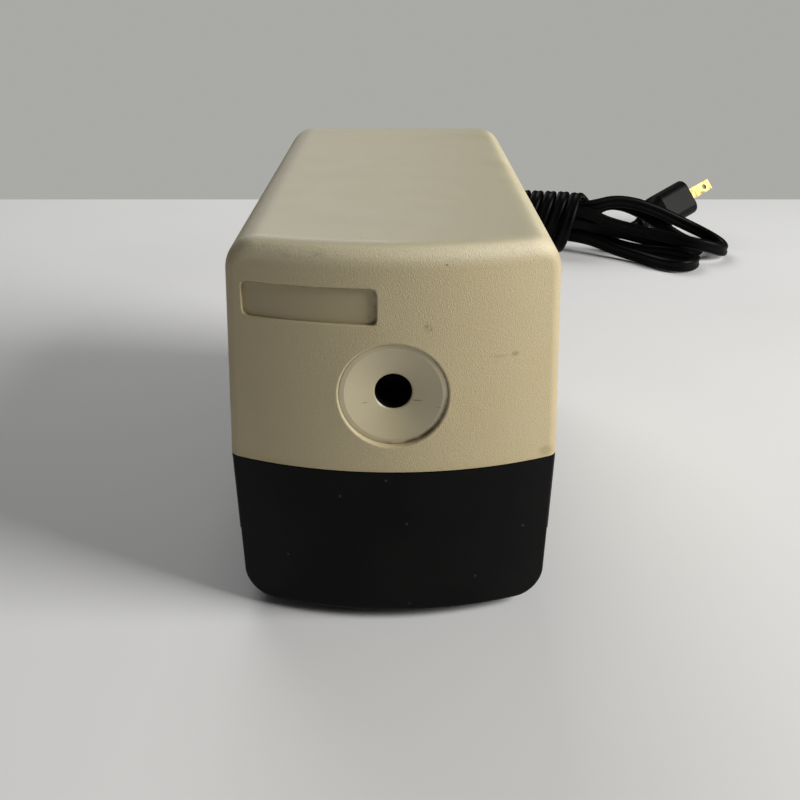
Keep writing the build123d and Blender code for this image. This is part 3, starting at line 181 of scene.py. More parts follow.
# %% [markdown]
# ## The mains lead: five turns round the waist
#
# After the third loop the lead climbs onto the waist and winds round it. The turns slant, because the
# lead was drawn to the right as it went over the top, and the last one is slack and hangs forward onto
# the table. A bell-shaped number that is 1 there and dies away on both sides gives it its slack.

# %% Turns round the waist, and the way out to the plug
TURNS = 5
PLACES_PER_TURN = 8
TURN_STEP = 7.3
TURN_MIDDLE = 3.5
TURN_SLANT = 0.22
TURN_HALF_WIDTH, TURN_HALF_HEIGHT = 11.7, 15.1
SLACK_AT, SLACK_SPREAD = 4.62, 0.2
SLACK_ALONG, SLACK_FORWARD, SLACK_UP = 0.7, 6, 0.4


def on_turn(turns):
    """A point on the winding round the waist, after a number of turns."""
    across = TURN_HALF_WIDTH * math.sin(2 * math.pi * turns)
    up = TURN_HALF_HEIGHT * math.cos(2 * math.pi * turns)
    slack = math.exp(-(((turns - SLACK_AT) / SLACK_SPREAD) ** 2))
    along = TURN_STEP * (turns - TURN_MIDDLE) + TURN_SLANT * up + SLACK_ALONG * slack
    return in_stack(along, across - SLACK_FORWARD * slack, up + SLACK_UP * slack)


route += [in_stack(-36, -12, 12.5), in_stack(-26.5, -5, 15.3)]
turns_from = route[-1]
route += [on_turn(step / PLACES_PER_TURN) for step in range(1, TURNS * PLACES_PER_TURN + 1)]
route += [in_stack(19, 11, 8), on_hank(29, 15.5, 10.5), on_hank(38, 18.5, 6.6)]
print("places in all", len(route))

# %% [markdown]
# ## The mains lead: one smooth line
#
# A spline of order 3 passes through the middle of each leg between its control points, and along that
# leg. So a control point a little before each place and one a little after it make the line run
# through the place, here in the direction from the place before it to the place after it. The order
# and the end setting are given after the points are there, because a spline with too few points falls
# back to straight legs.

# %% Control points of the line
REACH_SHARE = 0.29

control = list(tail_points)
for index, place in enumerate(route):
    before = route[index - 1] if index else tail_points[-1]
    after = route[index + 1] if index + 1 < len(route) else before_plug
    reach = REACH_SHARE * min((place - before).length, (after - place).length)
    way = (after - before).normalized()
    control += [place - way * reach, place + way * reach]
control += [before_plug, plug_entry]
print("control points", len(control))

# %% The line as a spline
line_data = bpy.data.curves.new("lead_line", "CURVE")
line_data.dimensions = "3D"
spline = line_data.splines.new("NURBS")
spline.points.add(len(control) - 1)
for point, place in zip(spline.points, control):
    point.co = (*(place * MM), 1)
spline.order_u = 3
spline.use_endpoint_u = True
spline.resolution_u = 6
line = bpy.data.objects.new("lead_line", line_data)
bpy.context.scene.collection.objects.link(line)
bpy.context.view_layer.update()
settled = line.evaluated_get(bpy.context.evaluated_depsgraph_get())
path = [vertex.co.copy() for vertex in bpy.data.meshes.new_from_object(settled).vertices]
bpy.data.objects.remove(line)
travel = [0.0]
for start, stop in zip(path, path[1:]):
    travel.append(travel[-1] + (stop - start).length)
print("points on the line", len(path), "length in metres", round(travel[-1], 3))

# %% [markdown]
# ## The mains lead: the flat twin section
#
# The lead is two insulated wires side by side, joined in the middle, so its section is a figure of
# eight about 6.8 mm wide and 3.6 mm thick. A bevelled curve has no hold on which way such a section
# lies, so the skin is laid ring by ring. On the loops the broad way stands up, in the stack it leans
# with the stack, and round the waist it lies along the hank. Between these it turns gradually.

# %% Which way the broad side lies, all along the line
# Where the broad side turns: in millimetres from the hank's middle, then in metres after the turns
# begin and in metres before the plug
STACK_ENDS = (20, 40)
WINDING_BEGINS = (-0.012, 0.022)
PLUG_NEARS = (0.02, 0.05)

turns_begin = min(range(len(path)), key=lambda i: (path[i] - turns_from * MM).length)


def smooth_step(value, low, high):
    """0 below low, 1 above high and an even change between them."""
    share = min(1.0, max(0.0, (value - low) / (high - low)))
    return share * share * (3 - 2 * share)


def broad_way(index):
    """Direction of the section's broad side before it is squared up to the line."""
    place = path[index] / MM - Vector(HANK_MIDDLE)
    stacked = 1 - smooth_step(abs(place.dot(hank_along)), *STACK_ENDS)
    upright = Vector((0, 0, 1)).lerp(stack_up, stacked)
    wound = smooth_step(travel[index] - travel[turns_begin], *WINDING_BEGINS)
    wound *= smooth_step(travel[-1] - travel[index], *PLUG_NEARS)
    return upright.lerp(hank_along, wound)


print("turns begin after", round(travel[turns_begin], 3), "m")

# %% The lead's section, and its rings along the line
WIRE_SIDE, WIRE_RADIUS = 1.6, 1.8
ARC_POINTS, ARC_STEP = 9, 32

section = []
for side in (-1, 1):
    for step in range(ARC_POINTS):
        angle = math.radians(ARC_STEP * (step - ARC_POINTS // 2)) + (math.pi if side < 0 else 0)
        across = side * WIRE_SIDE + WIRE_RADIUS * math.cos(angle)
        section.append((across, WIRE_RADIUS * math.sin(angle)))
verts = []
for index, place in enumerate(path):
    way = (path[min(index + 1, len(path) - 1)] - path[max(index - 1, 0)]).normalized()
    broad = broad_way(index)
    broad = (broad - way * broad.dot(way)).normalized()
    thin = way.cross(broad)
    verts += [place + (broad * a + thin * b) * MM for a, b in section]
print("points of the section", len(section), "of the skin", len(verts))

# %% The skin of the lead
count = len(section)
faces = []
for ring in range(len(path) - 1):
    for corner in range(count):
        a = ring * count + corner
        b = ring * count + (corner + 1) % count
        faces.append((a, b, b + count, a + count))
faces.append(tuple(reversed(range(count))))
faces.append(tuple(range((len(path) - 1) * count, len(path) * count)))
lead_mesh = bpy.data.meshes.new("mains_lead")
lead_mesh.from_pydata(verts, [], faces)
lead_mesh.polygons.foreach_set("use_smooth", [True] * len(faces))
along = lead_mesh.uv_layers.new(name="along")
for loop in lead_mesh.loops:
    ring, corner = divmod(loop.vertex_index, count)
    along.data[loop.index].uv = (travel[ring], corner / count)
print("lead faces", len(lead_mesh.polygons))

# %% The lead as an object, with its faces turned outwards
mains_lead = bpy.data.objects.new("mains_lead", lead_mesh)
bpy.context.scene.collection.objects.link(mains_lead)
bpy.ops.object.select_all(action="DESELECT")
bpy.context.view_layer.objects.active = mains_lead
mains_lead.select_set(True)
bpy.ops.object.mode_set(mode="EDIT")
bpy.ops.mesh.select_all(action="SELECT")
bpy.ops.mesh.normals_make_consistent(inside=False)
bpy.ops.object.mode_set(mode="OBJECT")
print("lead made", mains_lead.name)

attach(mains_lead, "housing")
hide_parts("cord_tail", "cord_hank")
print("lead declared", round(travel[-1], 3), "m long")

# %% [markdown]
# ## Finishes: a small kit
#
# Every finish starts from the Principled shader, and its patterns read Object coordinates, which are
# metres here, so a noise of scale 1000 has spots about a millimetre across.

# %% A material and its nodes
class FinishNodes:
    """A material with its node tree, its shader and its Object coordinates."""

    def __init__(self, name, colour, roughness, **sockets):
        self.material = bpy.data.materials.new(name)
        self.material.use_nodes = True
        self.nodes = self.material.node_tree.nodes
        self.links = self.material.node_tree.links
        self.shader = self.nodes["Principled BSDF"]
        self.shader.inputs["Base Color"].default_value = (*colour, 1)
        self.shader.inputs["Roughness"].default_value = roughness
        for socket, value in sockets.items():
            self.shader.inputs[socket.replace("_", " ")].default_value = value
        self.place = self.add("ShaderNodeTexCoord").outputs["Object"]

    def add(self, kind, inputs=(), **settings):
        """Adds a node, sets its properties, and sets or links its inputs."""
        node = self.nodes.new(kind)
        for name, value in settings.items():
            setattr(node, name, value)
        for name, value in dict(inputs).items():
            self.feed(node.inputs[name], value)
        return node

    def feed(self, socket, value):
        """Links another node's output to a socket, or sets the socket to a value."""
        if isinstance(value, bpy.types.NodeSocket):
            self.links.new(value, socket)
        else:
            socket.default_value = value

    def use(self, socket, value):
        """Links a value to a socket of the shader."""
        self.links.new(value, self.shader.inputs[socket])


print("a finish can add nodes")


# %% Arithmetic and patterns
class FinishPatterns(FinishNodes):
    """Adds numbers that change over the surface."""

    SPOT_NOISE = 1.6
    SPOT_CORE = 0.35

    def sums(self, operation, first, second):
        """One step of arithmetic on two numbers, such as ADD or MAXIMUM."""
        node = self.add("ShaderNodeMath", {0: first, 1: second}, operation=operation)
        return node.outputs["Value"]

    def times(self, first, *others):
        """The product of several numbers."""
        for other in others:
            first = self.sums("MULTIPLY", first, other)
        return first

    def vector(self, operation, first, second=(0, 0, 0), output="Vector"):
        """One step of arithmetic on two vectors, such as SUBTRACT or LENGTH."""
        node = self.add("ShaderNodeVectorMath", {0: first, 1: second}, operation=operation)
        return node.outputs[output]

    def noise(self, scale, detail=2.0, rough=0.5, place=None):
        """A noise from 0 to 1 with spots of about 1 / scale metres."""
        inputs = {"Vector": place or self.place, "Scale": scale, "Detail": detail, "Roughness": rough}
        return self.add("ShaderNodeTexNoise", inputs).outputs["Fac"]

    def mask(self, value, low, high):
        """0 where the value is at low, 1 where it is at high, smooth between."""
        inputs = {"Value": value, "From Min": low, "From Max": high, "To Min": 0.0, "To Max": 1.0}
        node = self.add("ShaderNodeMapRange", inputs, interpolation_type="SMOOTHSTEP")
        return node.outputs["Result"]

    def spread(self, value, low, high):
        """Spreads a value from 0 to 1 over another range."""
        inputs = {"Value": value, "To Min": low, "To Max": high}
        return self.add("ShaderNodeMapRange", inputs).outputs["Result"]

    def stretched(self, place, scale):
        """Coordinates scaled along each axis, which draws a pattern out."""
        return self.add("ShaderNodeMapping", {"Vector": place, "Scale": scale}).outputs["Vector"]

    def spot(self, centre, radius, ragged=0.35, squeeze=(1, 1, 1)):
        """A ragged spot round a point, in millimetres, that can be squeezed along an axis."""
        radius *= MM
        shake = self.noise(self.SPOT_NOISE / radius, 3.0)
        away = self.vector("SUBTRACT", self.place, tuple(c * MM for c in centre))
        reach = self.vector("LENGTH", self.vector("MULTIPLY", away, squeeze), output="Value")
        inputs = {0: shake, 1: ragged * 2 * radius, 2: (1 - ragged) * radius}
        wide = self.add("ShaderNodeMath", inputs, operation="MULTIPLY_ADD").outputs["Value"]
        return self.mask(self.sums("DIVIDE", reach, wide), 1.0, self.SPOT_CORE)


print("a finish can make masks and noises")


# %% Colours and bumps
class Finish(FinishPatterns):
    """Adds colours, bumps and a way to put the finish on pieces."""

    def mix(self, share, first, second):
        """A colour between two others."""
        node = self.add("ShaderNodeMix", data_type="RGBA")
        self.feed(node.inputs["Factor"], share)
        # The node's colours are its inputs 6 and 7 and its output 2
        for socket, colour in ((node.inputs[6], first), (node.inputs[7], second)):
            self.feed(socket, (*colour, 1) if isinstance(colour, tuple) else colour)
        return node.outputs[2]

    def mottled(self, scale, detail, low, high, first, second):
        """A colour that changes between two in soft spots."""
        return self.mix(self.mask(self.noise(scale, detail), low, high), first, second)

    def bump(self, height, distance, strength=1.0):
        """Turns a height into a bump of that many metres."""
        inputs = {"Height": height, "Distance": distance, "Strength": strength}
        self.use("Normal", self.add("ShaderNodeBump", inputs).outputs["Normal"])

    def dress(self, *names):
        """Gives the finish to CAD nodes or new pieces."""
        for name in names:
            thing = nodes[name] if name in nodes else bpy.data.objects[name]
            thing.data.materials.clear()
            thing.data.materials.append(self.material)
        print(self.material.name, "on", ", ".join(names))


print("a finish can be put on pieces")

# %% [markdown]
# ## Cream housing
#
# The housing is moulded ABS that has yellowed with age, most on the right and least on the top. Its
# front and sides carry a fine grain of less than half a millimetre. On the top the grain is faint, and
# the floor of the label recess is smooth. Grain that fades at an edge is a height multiplied by a mask,
# and the masks here are plain ranges of x, y and z. Handling has left a few brown smudges and specks.

# %% Masks for the smooth places
# Ranges and edges in metres: the rounded edge of the top, the label recess and the front
TOP_HEIGHTS = (0.0972, 0.0983)
TOP_SMOOTHNESS = 0.65
RECESS_LEFT, RECESS_RIGHT = -0.03437, -0.00363
RECESS_BOTTOM, RECESS_TOP = 0.08008, 0.08847
RECESS_EDGE = 0.00012
FRONT_BEGINS = (-0.06, -0.066)

cream = Finish("aged_cream_abs", (0.52, 0.44, 0.26), 0.5)
axes = cream.add("ShaderNodeSeparateXYZ", {"Vector": cream.place}).outputs
top = cream.mask(axes["Z"], *TOP_HEIGHTS)
label = cream.times(
    cream.mask(axes["X"], RECESS_LEFT, RECESS_LEFT + RECESS_EDGE),
    cream.mask(axes["X"], RECESS_RIGHT, RECESS_RIGHT - RECESS_EDGE),
    cream.mask(axes["Z"], RECESS_BOTTOM, RECESS_BOTTOM + RECESS_EDGE),
    cream.mask(axes["Z"], RECESS_TOP, RECESS_TOP - RECESS_EDGE),
    cream.mask(axes["Y"], *FRONT_BEGINS),
)
smooth = cream.sums("MAXIMUM", cream.times(top, TOP_SMOOTHNESS), label)
grained = cream.sums("SUBTRACT", 1.0, smooth)
print("masks", top.node.name, label.node.name)

# %% Colour of the housing, from yellowing to the paler rim, which is a painted highlight, and the top
PLAIN_CREAM = (0.53, 0.45, 0.275)
YELLOWED_CREAM = (0.525, 0.425, 0.225)
RIM_HIGHLIGHT_CREAM = (0.72, 0.64, 0.44)
TOP_CREAM = (0.495, 0.45, 0.305)
RECESS_SHADE_CREAM = (0.42, 0.35, 0.21)
YELLOWING = (-0.02, 0.042)
RIM_HEIGHTS = (0.0925, 0.0962)

drift = cream.mask(cream.noise(26, 4.0, 0.6), 0.1, 0.9)
yellow = cream.times(cream.mask(axes["X"], *YELLOWING), drift)
colour = cream.mix(yellow, PLAIN_CREAM, YELLOWED_CREAM)
# The band along the rounded top front edge is painted paler in mottled spots: a painted highlight.
rim = cream.mask(axes["Z"], *RIM_HEIGHTS)
rim_highlight = cream.times(rim, cream.mask(cream.noise(1100, 3.0), -0.1, 0.5))
colour = cream.mix(rim_highlight, colour, RIM_HIGHLIGHT_CREAM)
colour = cream.mix(top, colour, TOP_CREAM)
# The floor of the label recess is painted darker than the front: painted shade.
colour = cream.mix(label, colour, RECESS_SHADE_CREAM)
print("base colours of the housing made")

# %% Dirt and painted shadow in the recess, and dirty lower and right edges and pores
RECESS_DIRT_AND_SHADOW = (0.20, 0.125, 0.055)
EDGE_DIRT = (0.42, 0.30, 0.13)
PORE_DIRT = (0.38, 0.30, 0.165)
RECESS_END, RECESS_CEILING = (-0.0049, -0.0039), (0.0877, 0.0884)
LOWER_EDGE, RIGHT_EDGE = (0.0462, 0.0440), (0.0378, 0.0396)

# The recess's right end and top edge get a brown line: it is partly dirty plastic, partly painted
# shadow of the edges.
in_corner = cream.sums(
    "MAXIMUM", cream.mask(axes["X"], *RECESS_END), cream.mask(axes["Z"], *RECESS_CEILING)
)
recess_dirt_and_shadow = cream.times(in_corner, label, cream.mask(cream.noise(420, 4.0), 0.3, 0.65), 0.6)
colour = cream.mix(recess_dirt_and_shadow, colour, RECESS_DIRT_AND_SHADOW)
at_edge = cream.sums(
    "MAXIMUM", cream.mask(axes["Z"], *LOWER_EDGE), cream.mask(axes["X"], *RIGHT_EDGE)
)
stain = cream.times(at_edge, cream.mask(cream.noise(110, 4.0, 0.6), 0.35, 0.7), 0.4)
colour = cream.mix(stain, colour, EDGE_DIRT)
pores = cream.times(cream.mask(cream.noise(3400, 2.0, 0.6), 0.45, 0.3), grained, 0.3)
colour = cream.mix(pores, colour, PORE_DIRT)
print("dirt of the housing made")

# %% Smudges and specks
ON_FRONT = (1, 0.3, 1)
STREAK = (1, 0.3, 5)
ON_TOP = (1, 1, 0.3)
SMUDGE_BROWN = (0.19, 0.115, 0.05)
# Place and radius in millimetres, strength, and how the spot is squeezed
marks = (
    ((7.5, -80.4, 79.9), 0.5, 0.55, ON_FRONT),
    ((8.5, -80.4, 79.1), 0.4, 0.45, ON_FRONT),
    ((7.9, -80.4, 79.5), 1.4, 0.15, ON_FRONT),
    ((28.0, -76.6, 71.9), 1.3, 0.4, (1, 0.3, 1.6)),
    ((24.3, -77.5, 71.7), 3.0, 0.16, STREAK),
    ((11.7, -79.4, 93.7), 0.35, 0.8, ON_FRONT),
    ((37.0, -74.1, 45.6), 2.6, 0.3, (1, 0.3, 1.5)),
    ((-5.2, -80.8, 81.9), 0.7, 0.5, (1, 0.3, 2)),
    ((-13.3, -80.2, 80.9), 0.5, 0.4, ON_FRONT),
    ((1.3, -32.2, 98.4), 0.6, 0.45, ON_TOP),
    ((-5.6, -53.7, 98.4), 0.4, 0.5, ON_TOP),
    ((-11.0, -60.4, 98.4), 0.5, 0.4, ON_TOP),
    ((-7.0, -74.5, 98.4), 0.4, 0.45, ON_TOP),
    ((-0.7, -72.0, 98.4), 0.35, 0.45, ON_TOP),
)
for centre, radius, strength, squeeze in marks:
    smudge = cream.times(cream.spot(centre, radius, 0.45, squeeze), strength)
    colour = cream.mix(smudge, colour, SMUDGE_BROWN)
cream.use("Base Color", colour)
print("marks", len(marks))

# %% Grain and gloss of the housing
grain = cream.sums("ADD", cream.noise(4200, 1.0), cream.times(cream.noise(2000, 1.0), 0.3))
cream.bump(cream.times(grain, grained), 0.00013, 0.9)
patchy = cream.mask(cream.noise(60, 3.0), 0.3, 0.7)
cream.use("Roughness", cream.spread(patchy, 0.42, 0.55))
cream.dress("upper_housing", "screw_posts")

# %% [markdown]
# ## Pencil guide
#
# The dish round the hole is the same plastic without grain. Pencils have rubbed it: there are a few
# dark scratches. The hole is painted near-black inside, which is painted shade, and the seam where the
# dish meets the housing is dark all round; low on the right it is dirty and carries painted shade. A
# distance from the hole's axis gives rings, and a noise breaks them up.

# %% Rings round the hole
# In metres: the axis above the table, and distances from it
AXIS_HEIGHT = 0.063
HOLE_RING = (0.00442, 0.00436)
DIRT_AND_SHADE_RING = (0.0116, 0.0124)
SEAM_RING = (0.0121, 0.0125)
LOW_RIGHT = (0.002, 0.018)

dish = Finish("rubbed_cream_dish", (0.54, 0.47, 0.31), 0.38)
from_axis = dish.vector("SUBTRACT", dish.place, (0, 0, AXIS_HEIGHT))
flat = dish.vector("MULTIPLY", from_axis, (1, 0, 1))
ring = dish.vector("LENGTH", flat, output="Value")
parts = dish.add("ShaderNodeSeparateXYZ", {"Vector": flat}).outputs
low_right = dish.mask(dish.sums("SUBTRACT", parts["X"], parts["Z"]), *LOW_RIGHT)
patches = dish.mask(dish.noise(300, 4.0), 0.35, 0.6)
# Low on the right the seam is darkened: partly dirty, partly painted shade of the seat's wall.
dirt_and_shade = dish.times(dish.mask(ring, *DIRT_AND_SHADE_RING), patches, low_right, 0.9)
seam = dish.sums("MAXIMUM", dish.times(dish.mask(ring, *SEAM_RING), 0.2), dirt_and_shade)
# Inside the hole the dish is painted near-black: painted shade in the bore.
hole = dish.mask(ring, *HOLE_RING)
print("rings", seam.node.name, hole.node.name)

# %% Colour and scratches of the dish
SEAM_DIRT_AND_SHADE = (0.15, 0.10, 0.055)
HOLE_SHADE_BLACK = (0.006, 0.0055, 0.005)
SCRATCH_BROWN = (0.20, 0.13, 0.07)

colour = dish.mottled(70, 3.0, 0.3, 0.7, (0.54, 0.475, 0.32), (0.51, 0.445, 0.285))
# The seam is painted dark all round as a joint, and more so low on the right, where it is dirty and
# painted shade.
colour = dish.mix(seam, colour, SEAM_DIRT_AND_SHADE)
# The bore is painted near-black: painted shade.
colour = dish.mix(hole, colour, HOLE_SHADE_BLACK)
# Place and radius in millimetres
scratches = (
    ((-6.7, -78.5, 60.5), 0.8),
    ((5.2, -78.1, 60.9), 1.1),
    ((6.2, -78.4, 61.0), 0.9),
    ((10.6, -79.7, 59.8), 0.7),
)
for centre, radius in scratches:
    scratch = dish.times(dish.spot(centre, radius, 0.5, STREAK), 0.75)
    colour = dish.mix(scratch, colour, SCRATCH_BROWN)
dish.use("Base Color", colour)
dish.bump(dish.noise(1500), 0.00003, 0.5)
dish.dress("pencil_guide")

# %% [markdown]
# ## Black drawer and base
#
# Drawer and base are black polystyrene with a satin skin: nearly black, a broad soft highlight, a fine
# texture, and dust that shows as pale specks. A Voronoi pattern gives one point for each cell, and a
# small threshold on its distance leaves a speck here and there. A few specks have places of their own.

# %% Dust on the black plastic
SPECK_RADIUS = 0.45
DUST_GREY = (0.30, 0.29, 0.27)

black = Finish("satin_black_plastic", (0.003, 0.003, 0.003), 0.45, Specular_IOR_Level=0.09)
cells = black.add("ShaderNodeTexVoronoi", {"Vector": black.place, "Scale": 130.0}).outputs
dust = black.times(
    black.mask(cells["Distance"], 0.06, 0.03), black.mask(black.noise(24), 0.55, 0.65)
)
specks = (
    (-1.8, -81.5, 41.3),
    (-12.9, -80.5, 36.5),
    (3.2, -81.2, 29.1),
    (32.4, -75.1, 24.9),
    (20.6, -78.0, 12.0),
    (-26.7, -76.9, 17.6),
)
for centre in specks:
    dust = black.sums("MAXIMUM", dust, black.spot(centre, SPECK_RADIUS, squeeze=ON_FRONT))
print("specks", len(specks))

# %% Colour and sheen of the black plastic
colour = black.mottled(40, 4.0, 0.35, 0.75, (0.0022, 0.0022, 0.0023), (0.0042, 0.0042, 0.0042))
black.use("Base Color", black.mix(black.times(dust, 0.12), colour, DUST_GREY))
black.use("Roughness", black.spread(black.noise(55, 3.0), 0.34, 0.5))
black.bump(black.noise(1300), 0.00008, 0.4)
black.dress("shavings_drawer", "base_pan")

# %% [markdown]
# ## Lead, plug, sleeve and feet
#
# The lead's vinyl is soft and slightly shiny, with faint rings where it has been bent. The rings follow
# the lead's own UV map, whose first number is metres along it. Plug and sleeve are the same vinyl,
# moulded, and the feet a dull rubber. Several finishes are just mottled and finely bumped, so one
# helper makes them all.

# %% Vinyl of the lead
vinyl = Finish("black_lead_vinyl", (0.0018, 0.0018, 0.0018), 0.42, Specular_IOR_Level=0.08)
length_way = vinyl.add("ShaderNodeUVMap", uv_map="along").outputs["UV"]
creases = vinyl.noise(900, 3.0, 0.6, vinyl.stretched(length_way, (1.0, 0.004, 1.0)))
vinyl.use(
    "Base Color",
    vinyl.mottled(80, 4.0, 0.4, 0.8, (0.0012, 0.0012, 0.0012), (0.0024, 0.0023, 0.0022)),
)
vinyl.bump(creases, 0.00006, 0.5)
vinyl.dress("mains_lead")


# %% Moulded vinyl of the plug and the sleeve, and the rubber of the feet
def mottled_finish(name, colour, roughness, spots, shades, grain, **sockets):
    """A finish with soft spots in two shades and a bump of fine noise."""
    finish = Finish(name, colour, roughness, **sockets)
    finish.use("Base Color", finish.mottled(*spots, *shades))
    noise, distance, strength = grain
    finish.bump(finish.noise(*noise), distance, strength)
    return finish


mottled_finish(
    "moulded_plug_vinyl", (0.003, 0.003, 0.003), 0.45,
    spots=(120, 4.0, 0.4, 0.75),
    shades=((0.0025, 0.0025, 0.0025), (0.005, 0.0049, 0.0046)),
    grain=((900, 2.0), 0.00006, 0.4),
    Specular_IOR_Level=0.13,
).dress("plug_body", "strain_relief")
mottled_finish(
    "dull_foot_rubber", (0.018, 0.018, 0.018), 0.85,
    spots=(200, 4.0, 0.35, 0.7),
    shades=((0.014, 0.014, 0.014), (0.034, 0.032, 0.03)),
    grain=((1200, 3.0), 0.00008, 0.6),
).dress("rubber_feet")

# %% [markdown]
# ## The metals
#
# The plug's blades and the bushes are brass that has darkened unevenly. Inside are plated plates and
# screws, ground steel shafts and cutters, a cast zinc frame, and the motor's varnished laminations.
# Each gets a base colour and a pattern that tells how it was made: stretched noise for rolled or
# ground steel, soft bumps for a casting, thin layers for laminations.

# %% Brass of the blades and the bushes
brass = Finish("handled_brass", (0.46, 0.32, 0.12), 0.5, Metallic=1.0)
tarnish = brass.mask(brass.noise(260, 4.0, 0.6), 0.45, 0.7)
brass.use("Base Color", brass.mix(tarnish, (0.50, 0.36, 0.14), (0.32, 0.21, 0.08)))
brass.use("Roughness", brass.spread(tarnish, 0.45, 0.62))
brass.bump(brass.noise(1800), 0.00002, 0.5)
brass.dress("plug_blades", "output_bushes", "motor_bearings")

# %% Plated steel
plated = Finish("zinc_plated_steel", (0.60, 0.60, 0.58), 0.34, Metallic=1.0)
streaks = plated.noise(900, 4.0, 0.6, plated.stretched(plated.place, (1.0, 1.0, 0.06)))
plated.use(
    "Base Color", plated.mottled(45, 3.0, 0.35, 0.7, (0.64, 0.64, 0.62), (0.55, 0.54, 0.49))
)
plated.use("Roughness", plated.spread(streaks, 0.26, 0.46))
plated.bump(streaks, 0.00003, 0.4)
plated.dress(
    "gear_plate_front", "gear_plate_rear", "plate_spacers", "motor_bracket", "motor_sleeves",
    "motor_bolts", "housing_screws", "chassis_screws", "frame_screws", "switch_screws", "switch_lever",
)

# %% Ground steel
ground = Finish("ground_steel", (0.55, 0.55, 0.56), 0.28, Metallic=1.0)
lathe = ground.noise(2600, 3.0, 0.5, ground.stretched(ground.place, (0.1, 1.0, 0.1)))
ground.use(
    "Base Color", ground.mottled(150, 3.0, 0.4, 0.75, (0.58, 0.58, 0.59), (0.40, 0.39, 0.38))
)
ground.use("Roughness", ground.spread(lathe, 0.2, 0.4))
ground.bump(lathe, 0.00002, 0.4)
ground.dress(
    "output_shaft", "idler_axle", "rotor_shaft", "cutter_pins", "cutter_right", "cutter_left",
    "ring_gear", "motor_pinion",
)

# %% Cast zinc
mottled_finish(
    "cast_zinc", (0.46, 0.46, 0.47), 0.5,
    spots=(90, 4.0, 0.35, 0.7),
    shades=((0.50, 0.50, 0.51), (0.37, 0.37, 0.37)),
    grain=((650, 4.0, 0.6), 0.00012, 0.6),
    Metallic=1.0,
).dress("cutter_frame", "cutter_carrier")

# %% Laminations
layers = Finish("varnished_laminations", (0.10, 0.095, 0.09), 0.45, Metallic=0.7)
leaf = layers.add(
    "ShaderNodeTexWave",
    {"Vector": layers.place, "Scale": 320.0, "Distortion": 0.4, "Detail": 1.0},
    wave_type="BANDS", bands_direction="Y",
).outputs["Fac"]
layers.use("Base Color", layers.mix(leaf, (0.075, 0.07, 0.065), (0.16, 0.15, 0.14)))
layers.bump(leaf, 0.0001, 0.6)
layers.dress("stator_stack", "rotor_core")

# %% [markdown]
# ## The mechanism's plastics and copper
#
# The large gears are natural nylon, and the bobbin and the switch's plunger share it. The switch is
# black phenolic, the inner leads wear a pale sleeving, and the coil is enamelled copper wire whose
# turns show as fine ribs round it.

# %% Nylon, switch and inner leads
mottled_finish(
    "natural_nylon", (0.72, 0.70, 0.60), 0.42,
    spots=(120, 3.0, 0.3, 0.7),
    shades=((0.74, 0.72, 0.63), (0.66, 0.63, 0.52)),
    grain=((1000, 2.0), 0.00004, 0.4),
    Subsurface_Weight=0.08,
).dress("output_gear", "idler_gear", "switch_plunger", "coil_bobbin")
mottled_finish(
    "black_phenolic", (0.02, 0.019, 0.018), 0.4,
    spots=(400, 4.0, 0.4, 0.7),
    shades=((0.016, 0.015, 0.014), (0.035, 0.03, 0.026)),
    grain=((1200, 2.0), 0.00004, 0.4),
).dress("switch_body")
mottled_finish(
    "white_lead_sleeving", (0.62, 0.60, 0.55), 0.5,
    spots=(90, 3.0, 0.35, 0.7),
    shades=((0.66, 0.64, 0.58), (0.52, 0.49, 0.42)),
    grain=((900, 2.0), 0.00004, 0.4),
).dress("inner_leads")

# %% Enamelled copper
copper = Finish("enamelled_copper", (0.45, 0.16, 0.06), 0.3, Metallic=0.85)
turns = copper.add(
    "ShaderNodeTexWave",
    {"Vector": copper.place, "Scale": 420.0, "Distortion": 0.8, "Detail": 2.0, "Detail Scale": 1.0},
    wave_type="BANDS", bands_direction="X",
).outputs["Fac"]
copper.use("Base Color", copper.mix(turns, (0.30, 0.09, 0.03), (0.56, 0.23, 0.09)))
copper.bump(turns, 0.00025, 0.8)
copper.dress("field_coil")

# %% [markdown]
# ## Table and light
#
# The table is one pale sheet that ends a little way behind the sharpener, with a grey room beyond it.
# Daylight comes from a window on the right, so an area light half a metre wide stands there: the larger
# the light, the softer the shadow that falls to the left. The room itself gives a weak even light, and
# a weak lamp behind the sharpener, on the left, lights the back of the table.

# %% Table
TABLE_WIDTH, TABLE_DEPTH = 3.2, 1.6
TABLE_BACK = 0.395

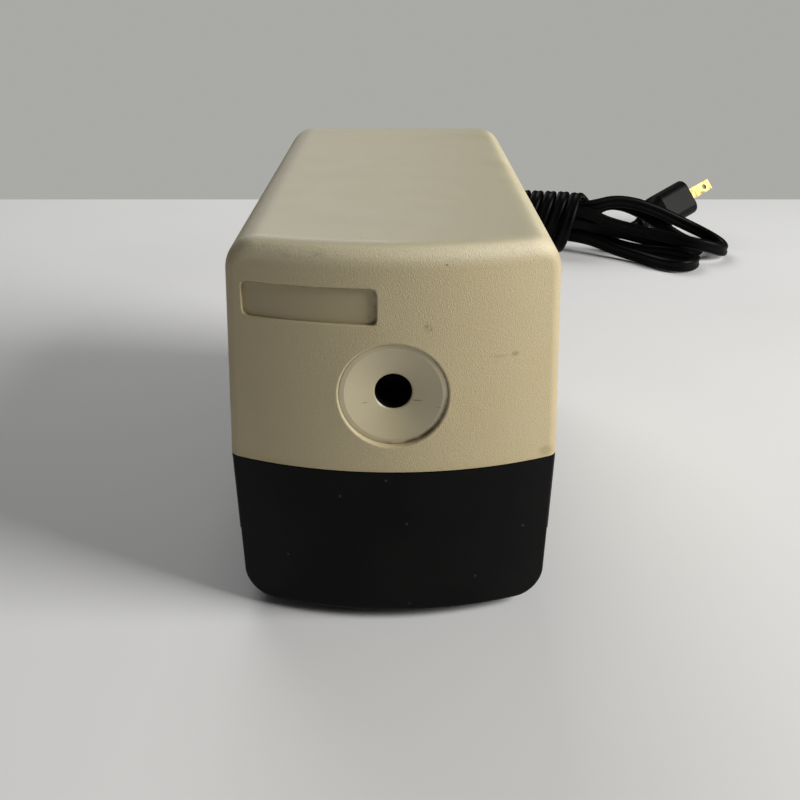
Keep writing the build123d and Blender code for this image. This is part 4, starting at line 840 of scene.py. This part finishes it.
bpy.ops.object.select_all(action="DESELECT")
bpy.ops.mesh.primitive_plane_add(size=1.0, location=(0, 0, 0))
table = bpy.context.object
table.name = "table_top"
table.scale = (TABLE_WIDTH, TABLE_DEPTH, 1.0)
table.location = (0, TABLE_BACK - TABLE_DEPTH / 2, 0)
bpy.ops.object.transform_apply(location=True, rotation=False, scale=True)
paper = Finish("pale_table", (0.82, 0.82, 0.815), 0.7)
paper.use("Base Color", paper.mottled(5, 3.0, 0.3, 0.7, (0.84, 0.84, 0.835), (0.80, 0.80, 0.795)))
paper.dress("table_top")

# %% Room: a grey backdrop for the camera, and a weak even light for everything else
BACKDROP_GREY = (0.40, 0.405, 0.385, 1)
ROOM_LIGHT = (0.06, 0.06, 0.06, 1)

world = bpy.data.worlds.new("grey_room")
bpy.context.scene.world = world
world.use_nodes = True
room = world.node_tree
backdrop = room.nodes["Background"]
backdrop.inputs["Color"].default_value = BACKDROP_GREY
dim = room.nodes.new("ShaderNodeBackground")
dim.inputs["Color"].default_value = ROOM_LIGHT
seen = room.nodes.new("ShaderNodeLightPath").outputs["Is Camera Ray"]
either = room.nodes.new("ShaderNodeMixShader")
room.links.new(seen, either.inputs["Fac"])
room.links.new(dim.outputs["Background"], either.inputs[1])
room.links.new(backdrop.outputs["Background"], either.inputs[2])
room.links.new(either.outputs["Shader"], room.nodes["World Output"].inputs["Surface"])
print("room light", ROOM_LIGHT[0])


# %% Window on the right and a weak fill behind on the left
def area_light(name, place, target, side, power, colour=(1, 1, 1)):
    """A square light that faces a point."""
    bpy.ops.object.light_add(type="AREA", location=place)
    lamp = bpy.context.object
    lamp.name = name
    lamp.data.shape = "SQUARE"
    lamp.data.size = side
    lamp.data.energy = power
    lamp.data.color = colour
    lamp.rotation_euler = (Vector(target) - Vector(place)).to_track_quat("-Z", "Y").to_euler()


area_light(
    "window", place=(1.0, -0.33, 0.62), target=(0, 0, 0.05), side=0.55, power=16,
    colour=(1.0, 0.99, 0.97),
)
area_light("back_fill", place=(-0.25, 0.8, 0.75), target=(-0.2, 0.3, 0), side=0.7, power=4.2)
bpy.context.scene.view_settings.view_transform = "Standard"
